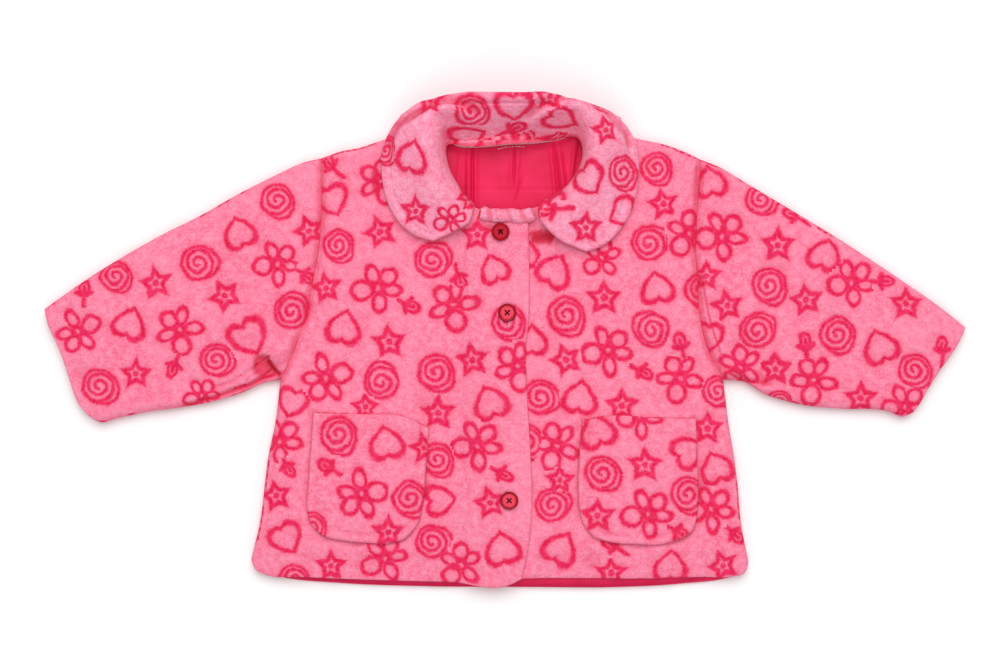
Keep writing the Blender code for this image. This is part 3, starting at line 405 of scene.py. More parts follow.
# Light
WORLD_STRENGTH = 0.44
KEY_POWER = 104.0
FILL_POWER = 34.0
KEY_PLACE = (0.1, 1.9, 3.4)
FILL_PLACE = (-0.1, -2.0, 3.4)
LIGHT_SIZE = 3.0

# Rings of one stitch of thread: place along it, thickness and lift
STITCH_RINGS = ((0, 0.35, -0.12), (0.2, 0.9, 0.05), (0.5, 1.0, 0.12), (0.8, 0.9, 0.05), (1, 0.35, -0.12))
STITCH_SIDES = 6

# Motif coordinates are kept as shares of this many millimetres, and kinds as shares of this many
PLACE_SPAN = 60.0
KIND_SPAN = 8.0

# Distance to the print where there is none, and the nearest motif's greatest distance in its reaches
NO_PRINT = 9.0
MOTIF_LIMIT = 1.6
FAR = 1e9

# Sheets: material slot, flat size in metres, how it is held, what it rests on and its area
SHEETS = {
    "front_right": ("fleece", (0.215, 0.355), "laid", ["back_panel"], 0.066),
    "front_left": ("fleece", (0.205, 0.350), "laid", ["back_panel"], 0.062),
    "sleeve_right": ("fleece", (0.360, 0.235), "laid", [], 0.066),
    "sleeve_left": ("fleece", (0.360, 0.235), "laid", [], 0.064),
    "back_panel": ("fleece", (0.385, 0.350), "laid", [], 0.112),
    "back_lining": ("lining", (0.345, 0.340), "laid", ["back_panel"], 0.098),
    "collar": ("fleece", (0.420, 0.085), "folded", ["front_right", "front_left"], 0.025),
    "neck_band": ("fleece", (0.046, 0.014), "gathered", ["front_right"], None),
    "pocket_right": ("fleece", (0.092, 0.098), "laid", ["front_right"], 0.0083),
    "pocket_left": ("fleece", (0.090, 0.096), "laid", ["front_left"], 0.0081),
}


def chart_to_plan(across, down, height=CHART_PLANE):
    """Plan millimetres of a chart point that lies at a height, as the overhead camera sees it."""
    shrink = CHART_STEP * (1 - (height - CHART_PLANE) / CAMERA_HEIGHT)
    return (across - CHART_ORIGIN[0]) * shrink, (CHART_ORIGIN[1] - down) * shrink


def charted(points, height):
    """A smooth line through points of the chart that lie at a height."""
    return smooth_curve([chart_to_plan(across, down, height) for across, down in points], 8)


def smooth_curve(points, steps=14):
    """A fine polyline on a smooth curve through the points, with their chords as its knots."""
    p = np.array(points, dtype=float)
    chord = np.linalg.norm(np.diff(p, axis=0), axis=1)
    knots = np.concatenate(([0.0], np.cumsum(chord)))
    slope = np.gradient(p, knots, axis=0)
    fine = []
    for i in range(len(p) - 1):
        for u in np.linspace(0.0, 1.0, steps, endpoint=False):
            h00 = 2 * u**3 - 3 * u**2 + 1
            h10 = u**3 - 2 * u**2 + u
            h01 = 3 * u**2 - 2 * u**3
            h11 = u**3 - u**2
            ends = h00 * p[i] + h01 * p[i + 1]
            fine.append(ends + chord[i] * (h10 * slope[i] + h11 * slope[i + 1]))
    fine.append(p[-1])
    return np.array(fine)


def length_of(line):
    return float(np.linalg.norm(np.diff(line, axis=0), axis=1).sum())


def reach_of(line):
    """Distance of each of a polyline's points along it."""
    return np.concatenate(([0.0], np.cumsum(np.linalg.norm(np.diff(line, axis=0), axis=1))))


def along(line, distances):
    """Points of a polyline at distances along it."""
    reach = reach_of(line)
    return np.stack([np.interp(distances, reach, line[:, k]) for k in range(line.shape[1])], axis=1)


def at_shares(line, shares):
    """Points of a polyline at shares of its length."""
    return along(line, shares * length_of(line))


def rounding(radius, angles):
    """Distances from a rounded edge at which its grid lines run."""
    return [radius * (1.0 - math.cos(math.radians(a))) for a in angles]


EDGE = rounding(EDGE_RADIUS, EDGE_ANGLES)
FREE = rounding(FREE_EDGE, FREE_ANGLES)


def from_end(total, steps):
    """The same steps measured back from the far end, in order."""
    return [total - d for d in reversed(steps)]


def fill(start, stop, step=STEP):
    """Evenly spaced distances after start, up to and with stop, about one step apart."""
    return list(np.linspace(start, stop, max(2, round((stop - start) / step)) + 1)[1:])


def patch(top, bottom, left, right, s, t):
    """Plan points between four boundary rows: left and right run down, top and bottom run across."""
    s = np.asarray(s)[None, :, None]
    t = np.asarray(t)[:, None, None]
    across = (1 - t) * top[None] + t * bottom[None]
    down = (1 - s) * left[:, None] + s * right[:, None]
    corners = ((1 - s) * (1 - t) * top[0] + s * (1 - t) * top[-1]
               + (1 - s) * t * bottom[0] + s * t * bottom[-1])
    return across + down - corners


def turned(a, b, degrees):
    """Coordinates along and across a direction, which is in degrees from the first axis."""
    cosine = math.cos(math.radians(degrees))
    sine = math.sin(math.radians(degrees))
    return a * cosine + b * sine, b * cosine - a * sine


def soft_ridges(x, y, table):
    """Height of soft ridges: x, y, half length, half width, angle of the length, height."""
    total = np.zeros_like(x)
    for fx, fy, half_length, half_width, angle, height in table:
        a, b = turned(x - fx, y - fy, angle)
        total += height * np.exp(-(a / half_length) ** 2 - (b / half_width) ** 2)
    return total


def ease(value):
    """Smooth step from 0 to 1."""
    v = np.clip(value, 0.0, 1.0)
    return v * v * (3 - 2 * v)


def beside(x, y, line):
    """Signed distance in plan to a polyline, positive to the right of its direction, and the share
    of its length at the nearest point."""
    p = np.stack((x.ravel(), y.ravel()), axis=1)
    reach = reach_of(line)
    best = np.full(len(p), 1e9)
    signed = np.zeros(len(p))
    share = np.zeros(len(p))
    for k, (a, b) in enumerate(zip(line[:-1], line[1:])):
        span = b - a
        size = float(span @ span)
        if size < 1e-12:
            continue
        u = np.clip((p - a) @ span / size, 0.0, 1.0)
        far = np.linalg.norm(p - a - u[:, None] * span, axis=1)
        closer = far < best
        best[closer] = far[closer]
        right = span[1] * (p[:, 0] - a[0]) - span[0] * (p[:, 1] - a[1]) > 0
        signed[closer] = np.where(right, far, -far)[closer]
        share[closer] = ((reach[k] + u * (reach[k + 1] - reach[k])) / reach[-1])[closer]
    return signed.reshape(x.shape), share.reshape(x.shape)


def distance_to(x, y, line):
    """Distance in plan from each point to a polyline."""
    return np.abs(beside(x, y, line)[0])


def groove(distance, line):
    """A soft trough: line is its distance from the edge, its depth and its half width."""
    at, depth, half_width = line
    return -depth * np.exp(-((distance - at) / half_width) ** 2)


def waves(x, y, size, seed):
    """Gentle uneven waves between -1 and 1, the same each run."""
    total = np.zeros_like(x)
    for k in range(5):
        angle = 2.399963 * (k + 1) + seed
        stretch = 1.0 + 0.37 * k
        phase = 1.7 * k * k + 3.1 * seed
        total += np.sin((x * math.cos(angle) + y * math.sin(angle)) * 2 * math.pi * stretch / size + phase)
    return total / 5


def body_top(x, y):
    """Height of the left front's upper side, and of the right front's away from its lap."""
    droop = HEM_DROOP * (1 - ease((y - HEM_Y) / HEM_DROOP_REACH))
    return BODY_HEIGHT + soft_ridges(x, y, FOLDS) - droop


def lap_top(x, y):
    """Height of the right front's upper side, which rises over the left front's edge."""
    start = LAP_EDGE_X - LAP_CLEAR - LAP_RISE_WIDTH
    return body_top(x, y) + LAP_RISE * ease((x - start) / LAP_RISE_WIDTH)


def unit(vectors):
    """The vectors at length 1."""
    size = np.linalg.norm(vectors, axis=-1, keepdims=True)
    return vectors / np.maximum(size, 1e-9)


def shift_in(plan, side_a, side_b, top):
    """Moves plan points one cloth thickness in from rounded edges, as far as the weights say."""
    across = unit(np.gradient(plan, axis=1))
    down = unit(np.gradient(plan, axis=0))
    moved = plan + CLOTH * side_a[..., None] * across
    moved = moved - CLOTH * side_b[..., None] * across
    return moved + CLOTH * top[..., None] * down


def rim_loop(rows, columns):
    """Grid places along the border of a grid, in order."""
    loop = [(0, j) for j in range(columns)]
    loop += [(i, columns - 1) for i in range(1, rows)]
    loop += [(rows - 1, j) for j in range(columns - 2, -1, -1)]
    loop += [(i, 0) for i in range(rows - 2, 0, -1)]
    return loop


def linked(name, data):
    """A new object in the scene."""
    obj = bpy.data.objects.new(name, data)
    bpy.context.scene.collection.objects.link(obj)
    return obj


def make_mesh(name, points, faces, sides, materials, fold=None):
    """A smooth closed piece; sides says for each face whether its cloth is the outside or the inside.

    fold, from 0 to 2 for each outer point, is how much painted crease shade its colour takes: how deep in a
    crease it lies, with the painted shade lines."""
    mesh = bpy.data.meshes.new(name)
    mesh.from_pydata((points * MM).tolist(), [], faces)
    depth = np.zeros(len(points))
    if fold is not None:
        depth[:fold.size] = fold.ravel()
    mesh.attributes.new("fold", "FLOAT", "POINT").data.foreach_set("value", depth)
    for made in materials:
        mesh.materials.append(made)
    mesh.polygons.foreach_set("material_index", sides)
    work = bmesh.new()
    work.from_mesh(mesh)
    bmesh.ops.recalc_face_normals(work, faces=work.faces)
    work.to_mesh(mesh)
    work.free()
    mesh.shade_smooth()
    return linked(name, mesh)


def wall(name, outer, inner, materials, fold=None):
    """A closed wall between two grids of points."""
    rows, columns = outer.shape[:2]
    points = np.concatenate((outer.reshape(-1, 3), inner.reshape(-1, 3)))
    half = rows * columns
    i, j = np.meshgrid(np.arange(rows - 1), np.arange(columns - 1), indexing="ij")
    a = (i * columns + j).ravel()
    quads = np.stack((a, a + 1, a + columns + 1, a + columns), axis=1)
    border = np.array([i * columns + j for i, j in rim_loop(rows, columns)])
    following = np.roll(border, -1)
    rim = np.stack((following, border, half + border, half + following), axis=1)
    faces = np.concatenate((quads, half + quads[:, ::-1], rim))
    sides = [OUTSIDE] * len(quads) + [INSIDE] * len(quads) + [OUTSIDE] * len(rim)
    return make_mesh(name, points, faces.tolist(), sides, materials, fold)


def tube(name, outer, inner, materials, fold=None):
    """A closed wall between two tubes of loops, open at both ends."""
    loops, sides_round = outer.shape[:2]
    points = np.concatenate((outer.reshape(-1, 3), inner.reshape(-1, 3)))
    half = loops * sides_round
    i, j = np.meshgrid(np.arange(loops - 1), np.arange(sides_round), indexing="ij")
    a = (i * sides_round + j).ravel()
    b = (i * sides_round + (j + 1) % sides_round).ravel()
    quads = np.stack((a, b, b + sides_round, a + sides_round), axis=1)
    k = np.arange(sides_round)
    following = (k + 1) % sides_round
    rims = [np.stack((s + k, s + following, half + s + following, half + s + k), axis=1)
            for s in (0, (loops - 1) * sides_round)]
    faces = np.concatenate([quads, half + quads[:, ::-1]] + rims)
    sides = [OUTSIDE] * len(quads) + [INSIDE] * len(quads) + [OUTSIDE] * (2 * sides_round)
    return make_mesh(name, points, faces.tolist(), sides, materials, fold)


def body_rows(armhole, side):
    """Row distances down one side, with the place of the underarm and the whole length."""
    underarm = length_of(smooth_curve(armhole))
    total = underarm + length_of(smooth_curve(side))
    above = from_end(underarm, EDGE)
    free = from_end(total, FREE)
    rows = EDGE + fill(EDGE[-1], above[0]) + above[1:] + fill(underarm, free[0]) + free[1:]
    return np.array(rows), underarm, total


def side_weight(rows, underarm):
    """How far each row's outer end is a folded edge: 0 along the armhole, 1 below the underarm."""
    above = np.clip((underarm - rows) / EDGE_RADIUS, 0.0, 1.0)
    return 1.0 - np.sqrt(1.0 - (1.0 - above) ** 2)


def down_boundary(armhole, side, rows):
    """Plan points down one side of the body."""
    line = np.concatenate((smooth_curve(armhole)[:-1], smooth_curve(side)))
    return along(line, rows)


def fold_angles(count, at_start, at_end):
    """Angles round the folds at a row's ends, with a right angle on the flat cloth."""
    angles = np.full(count, math.pi / 2)
    if at_start:
        angles[:len(EDGE)] = np.radians(EDGE_ANGLES)
    if at_end:
        angles[-len(EDGE):] = np.radians(EDGE_ANGLES)[::-1]
    return angles


def edge_flatness(angles, weight_a, angles_b, weight_b):
    """Grid of 0 on a folded edge to 1 on flat cloth, for a column edge and a row edge."""
    column = 1 - weight_a[:, None] * (1 - np.sin(angles))[None, :]
    row = 1 - weight_b[None, :] * (1 - np.sin(angles_b))[:, None]
    return column * row


def free_drop(distance):
    """How far the outer side of a turned edge has fallen at a distance from it."""
    inside = np.clip(FREE_EDGE - distance, 0.0, FREE_EDGE)
    return FREE_EDGE - np.sqrt(FREE_EDGE**2 - inside**2)


def painted_shades(x, y):
    """How dark the painted shade lines make each point, from 0 to 2."""
    total = np.zeros_like(x)
    for points, half_width, strength in PAINTED_SHADE_LINES:
        side, share = beside(x, y, charted(points, BODY_HEIGHT))
        ends = ease(share / 0.12 + 0.3) * ease((1 - share) / 0.12 + 0.3)
        total = np.maximum(total, strength * np.exp(-(side / half_width) ** 4) * ends)
    return total


def fold_of(relief, x, y):
    """How much painted crease shade each point takes: from how deep in a crease its relief lies, and from
    the painted shade lines.
    """
    return np.maximum(np.clip((-relief - 0.5) / 3.0, 0.0, 1.0), painted_shades(x, y))


def seam_of(outline):
    """The line that sews a pocket on: down one side, along the bottom and up the other side."""
    down, bottom, up = (smooth_curve(outline[key]) for key in ("side_a", "bottom", "side_b"))
    return np.concatenate((down, bottom, up[::-1]))


def front(name, armhole, side, shoulder, neckline, closing, hem, height, materials):
    """A front panel, from its armhole and side seam to its closing edge."""
    rows, underarm, total = body_rows(armhole, side)
    shoulder_line = smooth_curve(shoulder)
    neck_line = smooth_curve(neckline)
    closing_line = smooth_curve(closing)
    hem_line = smooth_curve(hem)
    shoulder_length = length_of(shoulder_line)
    hem_length = length_of(hem_line)
    free = from_end(shoulder_length + length_of(neck_line), FREE)
    top_distances = EDGE + fill(EDGE[-1], shoulder_length) + fill(shoulder_length, free[0], NECK_STEP)
    top_distances = np.array(top_distances + free[1:])
    inside = top_distances[len(EDGE):1 - len(FREE)]
    share = (inside - EDGE[-1]) / (inside[-1] - EDGE[-1])
    hem_free = from_end(hem_length, FREE)
    middle = EDGE[-1] + share * (hem_free[0] - EDGE[-1])
    hem_distances = np.concatenate((EDGE, middle, hem_free[1:]))
    s = hem_distances / hem_length
    t = rows / total
    top_line = np.concatenate((shoulder_line[:-1], neck_line))
    plan = patch(along(top_line, top_distances), along(hem_line, hem_distances),
                 down_boundary(armhole, side, rows), at_shares(closing_line, t), s, t)

    column_angles = fold_angles(len(s), True, False)
    row_angles = fold_angles(len(t), True, False)
    on_side = side_weight(rows, underarm)
    on_shoulder = np.clip((shoulder_length - top_distances) / SHOULDER_FADE, 0.0, 1.0)
    flat = edge_flatness(column_angles, on_side, row_angles, on_shoulder)

    x, y = plan[..., 0], plan[..., 1]
    low = SEAM_HEIGHT + GAP / 2
    top = height(x, y)
    from_closing = distance_to(x, y, closing_line)
    from_hem = distance_to(x, y, hem_line)
    relief = groove(distance_to(x, y, smooth_curve(armhole)), ARMHOLE_SEAM)
    relief += groove(from_hem, HEM_STITCHES)
    relief += groove(from_closing, CLOSING_STITCHES)
    relief += (1.1 * waves(x, y, 74.0, 0.4) + 0.6 * waves(x, y, 41.0, 2.9)) * flat
    relief += soft_ridges(x, y, CREASES)
    for outline in (POCKET_RIGHT, POCKET_LEFT):
        relief += groove(distance_to(x, y, seam_of(outline)), POCKET_SINK)
    drop = np.maximum(free_drop(from_closing), free_drop(from_hem))
    outer = np.dstack((plan, low + (top + relief - low) * flat - drop))
    side_shift = on_side[:, None] * np.cos(column_angles)[None, :]
    top_shift = on_shoulder[None, :] * np.cos(row_angles)[:, None]
    moved = shift_in(plan, side_shift, np.zeros_like(side_shift), top_shift)
    inner = np.dstack((moved, low + (top - CLOTH - low) * flat + 0.75 * drop))
    inner[..., 2] = np.minimum(inner[..., 2], outer[..., 2] - 0.2 * flat)
    # Painted crease shade from the relief and the painted shade lines
    return wall(name, outer, inner, materials, fold_of(relief, x, y))


def back(materials):
    """The back, flat on the surface, with its side and shoulder edges turned up to the seams."""
    rows_r, underarm_r, total_r = body_rows(ARMHOLE_RIGHT, SIDE_RIGHT)
    rows_l, underarm_l, _ = body_rows(ARMHOLE_LEFT, SIDE_LEFT)
    rows_l = np.interp(np.linspace(0, 1, len(rows_r)), np.linspace(0, 1, len(rows_l)), rows_l)
    right = smooth_curve(SHOULDER_RIGHT)
    neck = smooth_curve(NECKLINE_BACK)
    left = smooth_curve(SHOULDER_LEFT)[::-1]
    hem_line = smooth_curve(HEM_BACK)
    neck_start = length_of(right)
    neck_end = neck_start + length_of(neck)
    total_top = neck_end + length_of(left)
    hem_length = length_of(hem_line)
    top_distances = EDGE + fill(EDGE[-1], neck_start, BACK_STEP) + fill(neck_start, neck_end, BACK_STEP)
    top_distances += fill(neck_end, total_top - EDGE[-1], BACK_STEP) + from_end(total_top, EDGE[:-1])
    top_distances = np.array(top_distances)
    inside = top_distances[len(EDGE) - 1:len(top_distances) - len(EDGE) + 1]
    share = (inside - inside[0]) / (inside[-1] - inside[0])
    middle = EDGE[-1] + share * (hem_length - 2 * EDGE[-1])
    hem_distances = np.concatenate((EDGE[:-1], middle, from_end(hem_length, EDGE[:-1])))
    s = hem_distances / hem_length
    t = rows_r / total_r
    top_line = np.concatenate((right[:-1], neck[:-1], left))
    plan = patch(along(top_line, top_distances), along(hem_line, hem_distances),
                 down_boundary(ARMHOLE_RIGHT, SIDE_RIGHT, rows_r),
                 down_boundary(ARMHOLE_LEFT, SIDE_LEFT, rows_l), s, t)

    side_a = fold_angles(len(s), True, False)
    side_b = fold_angles(len(s), False, True)
    row_angles = fold_angles(len(t), True, False)
    weight_a = side_weight(rows_r, underarm_r)
    weight_b = side_weight(rows_l, underarm_l)
    from_right = np.clip((neck_start - top_distances) / SHOULDER_FADE, 0.0, 1.0)
    from_left = np.clip((top_distances - neck_end) / SHOULDER_FADE, 0.0, 1.0)
    on_shoulder = np.maximum(from_right, from_left)
    flat = (edge_flatness(side_a, weight_a, row_angles, on_shoulder)
            * (1 - weight_b[:, None] * (1 - np.sin(side_b))[None, :]))
    high = SEAM_HEIGHT - GAP / 2
    drop = free_drop(distance_to(plan[..., 0], plan[..., 1], hem_line))
    outer = np.dstack((plan, high * (1 - flat) + drop * flat))
    moved = shift_in(plan, weight_a[:, None] * np.cos(side_a)[None, :],
                     weight_b[:, None] * np.cos(side_b)[None, :],
                     on_shoulder[None, :] * np.cos(row_angles)[:, None])
    inner = np.dstack((moved, high - (high - CLOTH) * flat - 0.5 * drop * flat))
    return wall("back_shell", outer, inner, materials)


def lining(materials):
    """The back's lining, with the soft upright pleats and the stitched facing line inside the neck."""
    outline = (LINING_TOP, LINING_BOTTOM, LINING_LEFT, LINING_RIGHT)
    top, bottom, left, right = (smooth_curve(points) for points in outline)
    columns = np.linspace(0.0, 1.0, 281)
    rows = np.concatenate((np.linspace(0.0, 0.2, 56), np.linspace(0.2, 1.0, 36)[1:]))
    plan = patch(at_shares(top, columns), at_shares(bottom, columns), at_shares(left, rows),
                 at_shares(right, rows), columns, rows)
    x, y = plan[..., 0], plan[..., 1]
    low = CLOTH + GAP
    rise = LINING + 0.15 * waves(x, y, 26.0, 2.2)
    pleated = ease((y - 78.0) / 22.0)
    rise += (1.2 + soft_ridges(x, y, PLEATS)) * pleated * ease((62.0 - np.abs(x - 6.0)) / 14.0)
    rise += groove(y, LINING_STITCHES)
    rise = np.maximum(rise, 0.3)
    near_hem = ease((y + 172.0) / 6.0)
    rise = LINING + (rise - LINING) * near_hem
    lift = 3.4 * (1 - ease(distance_to(x, y, top) / 5.0))
    outer = np.dstack((plan, low + rise + lift))
    inner = np.dstack((plan, low + lift + 0.4 * (rise - LINING) * (rise > LINING)))
    return wall("lining_shell", outer, inner, materials)


def underarm_relief(x, y):
    """Height added by the creases under the arms and by the bulge over the closed fold."""
    total = np.zeros_like(x)
    for points, depth, half_width in UNDERARM:
        side, share = beside(x, y, charted(points, 8.0))
        ends = ease(share / 0.15) * ease((1 - share) / 0.08 + 0.3)
        total -= depth * np.exp(-(side / half_width) ** 2) * ends
    side, share = beside(x, y, charted(BULGE_EDGE, 8.0))
    near = np.exp(-(((x - NOTCH[0]) / 8.0) ** 4) - (((y - NOTCH[1]) / 7.5) ** 4))
    total -= 7.2 * near * ease((side + 0.2) / 1.8)
    total += 2.2 * np.exp(-((side + 4.5) / 4.5) ** 2) * ease(share / 0.2) * (side < 12)
    return total


def sleeve(name, armhole, top_points, bottom_points, cuff, materials):
    """A sleeve as one flattened tube, open at the armhole and at the cuff."""
    armhole_line = smooth_curve(armhole)
    cuff_line = smooth_curve(cuff)
    top_line = smooth_curve(top_points)
    bottom_line = smooth_curve(bottom_points)
    arm_length = length_of(armhole_line)
    fine_from = arm_length - FINE_REACH
    inside = fill(EDGE[-1], fine_from) + fill(fine_from, arm_length - EDGE[-1], FINE_STEP)
    inside_share = (np.array(inside) - EDGE[-1]) / (arm_length - 2 * EDGE[-1])

    def across(line):
        size = length_of(line)
        middle = list(EDGE[-1] + inside_share * (size - 2 * EDGE[-1]))
        return np.array(EDGE + middle + from_end(size, EDGE[:-1]))

    reach = length_of(top_line)
    free = [1 - d / reach for d in reversed(FREE)]
    first = SHELL_GAP / reach
    fine_to = FINE_REACH / reach
    stations = [first] + fill(first, fine_to, FINE_STEP / reach) + fill(fine_to, free[0], STEP / reach)
    stations = np.array(stations + free[1:])
    arm_distances = across(armhole_line)
    plan = patch(along(armhole_line, arm_distances), along(cuff_line, across(cuff_line)),
                 at_shares(top_line, stations), at_shares(bottom_line, stations),
                 arm_distances / arm_distances[-1], stations)

    angles = fold_angles(len(arm_distances), True, True)
    flat = np.broadcast_to(np.sin(angles)[None, :], plan.shape[:2])
    inward = np.cos(angles)
    upper_half = np.arange(len(angles)) < len(angles) // 2
    moved = shift_in(plan, np.where(upper_half, inward, 0.0), np.where(upper_half, 0.0, inward),
                     np.zeros(len(angles)))

    x, y = plan[..., 0], plan[..., 1]
    to_cuff = (1 - stations) * reach
    droop = CUFF_DROOP * (1 - ease(to_cuff / CUFF_DROOP_REACH))
    top = BODY_HEIGHT + soft_ridges(x, y, FOLDS) - droop[:, None]
    relief = groove(distance_to(x, y, armhole_line), ARMHOLE_SEAM)
    relief += groove(to_cuff, CUFF_STITCHES)[:, None]
    relief += 1.1 * waves(x, y, 68.0, 1.3) + 0.6 * waves(x, y, 39.0, 4.1) + soft_ridges(x, y, CREASES)
    relief += underarm_relief(x, y)
    relief = np.maximum(relief, SLEEVE_LOWEST - top)
    drop = free_drop(to_cuff)[:, None]
    upper = SEAM_HEIGHT + (top + relief - SEAM_HEIGHT) * flat - drop * flat
    lower = SEAM_HEIGHT * (1 - flat) + drop * flat
    upper_in = SEAM_HEIGHT + (top - CLOTH - SEAM_HEIGHT) * flat + 0.75 * drop * flat
    upper_in = np.minimum(upper_in, upper - 0.6 * flat)
    lower_in = SEAM_HEIGHT - (SEAM_HEIGHT - CLOTH) * flat - 0.75 * drop * flat
    lower_in = np.minimum(lower_in, upper_in - 0.1 * flat)

    def loops(points, high, low):
        above = np.dstack((points, high))
        below = np.dstack((points, low))[:, -2:0:-1]
        return np.concatenate((above, below), axis=1)

    # Painted crease shade on the upper side, none on the lower side
    fold = np.concatenate((fold_of(relief, x, y), np.zeros_like(relief)[:, -2:0:-1]), axis=1)
    return tube(name, loops(plan, upper, lower), loops(moved, upper_in, lower_in), materials, fold)


def relaxed(grid, passes):
    """A grid with each point drawn towards its neighbours, the corners kept."""
    for _ in range(passes):
        even = grid.copy()
        around = grid[:-2, 1:-1] + grid[2:, 1:-1] + grid[1:-1, :-2] + grid[1:-1, 2:]
        even[1:-1, 1:-1] = grid[1:-1, 1:-1] / 2 + around / 8
        for k in (0, -1):
            even[1:-1, k] = grid[1:-1, k] / 2 + (grid[:-2, k] + grid[2:, k]) / 4
        grid = even
    return grid


def resampled(grid, positions, axis):
    """A grid read at fractional row or column positions, on a smooth curve through its own points."""
    grid = np.moveaxis(grid, axis, 0)
    last = grid.shape[0] - 1
    whole = np.clip(np.floor(positions).astype(int), 0, last - 1)
    u = (positions - whole)[:, None, None]
    before = grid[np.maximum(whole - 1, 0)]
    a, b = grid[whole], grid[whole + 1]
    after = grid[np.minimum(whole + 2, last)]
    square = 2 * before - 5 * a + 4 * b - after
    cube = 3 * (a - b) + after - before
    made = a + 0.5 * u * (b - before + u * (square + u * cube))
    return np.moveaxis(made, 0, axis)


def collar_creases(x, y):
    """Height added along the rolls and creases of the collar."""
    added = np.zeros_like(x)
    for points, depth in ((ROLL_RIGHT, 5.0), (ROLL_LEFT, 3.6)):
        side, share = beside(x, y, charted(points, 38.0))
        ends = ease(share / 0.12) * ease((1 - share) / 0.12)
        crest = 1.8 * np.exp(-((side + 3.0) / 3.2) ** 2)
        behind = depth * ease((side + 0.8) / 3.2) * np.exp(-(np.maximum(side - 2.5, 0.0) / 6.0) ** 2)
        added += ends * (crest - behind)
    for points in INNER_CREASES:
        side, share = beside(x, y, charted(points, 34.0))
        added -= 1.6 * np.exp(-(side / 1.6) ** 2) * ease(share / 0.2) * ease((1 - share) / 0.2)
    return added


def collar_grid():
    """The solid's own grid of points over the collar, from its seam to its outer edge."""
    sections = np.array(tuple(reversed(COLLAR_RIGHT)) + COLLAR_LEFT, dtype=float)
    steps = COLLAR_SOLID_ACROSS
    shares = np.linspace(0, 1, steps)
    across = np.array([at_shares(smooth_curve(row, 8), shares) for row in sections])
    reach = reach_of(smooth_curve(across[:, steps // 2], 8))
    index = np.interp(np.linspace(0, reach[-1], COLLAR_SOLID_AROUND + 1), reach, np.arange(len(reach)))
    columns = []
    for k in range(steps):
        line = smooth_curve(across[:, k], 8)
        places = np.arange(len(line))
        columns.append(np.stack([np.interp(index, places, line[:, c]) for c in range(3)], axis=1))
    return relaxed(np.stack(columns, axis=1), COLLAR_RELAX)


def summed(steps, axis):
    """Distance of each line of a grid from the first one, from the steps between them."""
    start = np.zeros_like(np.take(steps, [0], axis=axis))
    return np.concatenate((start, np.cumsum(steps, axis=axis)), axis=axis)


def collar(materials):
    """The collar on the solid's own grid, read finely, with a stitched and puffed outer edge."""
    ends = np.array([0.25, 0.12, 0.04, 0])
    last = COLLAR_SOLID_ACROSS - 1
    around = np.concatenate((ends[::-1], np.linspace(0.5, COLLAR_SOLID_AROUND - 0.5, 176),
                             COLLAR_SOLID_AROUND - ends))
    over = np.concatenate((np.linspace(0, last - 0.4, 66), last - np.array([0.25, 0.14, 0.06, 0.015, 0])))
    outer = resampled(resampled(collar_grid(), around, 0), over, 1)
    creases = collar_creases(outer[..., 0], outer[..., 1])
    outer[..., 2] += creases
    for _ in range(2):
        outer[1:-1, 1:-1] = (outer[:-2, 1:-1] + outer[2:, 1:-1] + outer[1:-1, :-2] + outer[1:-1, 2:]) / 4
    normal = unit(np.cross(np.gradient(outer, axis=0), np.gradient(outer, axis=1)))
    if normal[len(around) // 2, len(over) // 2, 2] < 0:
        normal = -normal
    inner = outer - normal * COLLAR_CLOTH
    x, y = inner[..., 0], inner[..., 1]
    floor = np.where(x < PLACKET[0][0], lap_top(x, y), body_top(x, y)) + COLLAR_CLEAR
    inner[..., 2] = np.where(y < COLLAR_FRONT_Y, np.maximum(inner[..., 2], floor), inner[..., 2])
    outer[..., 2] = np.maximum(outer[..., 2], inner[..., 2] + COLLAR_EDGE)

    over_steps = np.linalg.norm(np.diff(outer, axis=1), axis=2)
    round_steps = np.linalg.norm(np.diff(outer, axis=0), axis=2)
    from_seam = summed(over_steps, 1)
    from_outer = summed(over_steps[:, ::-1], 1)[:, ::-1]
    from_start = summed(round_steps, 0)
    from_last = summed(round_steps[::-1], 0)[::-1]
    from_edge = np.minimum(from_outer, np.minimum(from_start, from_last))
    inside = np.clip(COLLAR_ROUNDING - from_edge, 0, COLLAR_ROUNDING)
    drop = COLLAR_ROUNDING - np.sqrt(COLLAR_ROUNDING**2 - inside**2)
    puff = 0.5 * np.exp(-((from_edge - 4.0) / 2.6) ** 2) + groove(from_edge, COLLAR_STITCHES)
    puff += 0.35 * waves(outer[..., 0], outer[..., 1], 34.0, 5.0)
    puff = puff * ease(from_edge / 1.5)
    outer = outer + normal * (puff - drop)[..., None]
    inner = inner + normal * (0.8 * drop)[..., None]
    # Painted shade: a band along the seam, where the collar meets the lining, and the low places of its
    # creases and stitching
    painted_seam_shade = 0.9 * np.exp(-((from_seam / 3.6) ** 4))
    fold = np.maximum(np.clip(-(puff + creases + 0.8) / 5.0, 0.0, 0.8), painted_seam_shade)
    return wall("collar_shell", outer, inner, materials, fold)


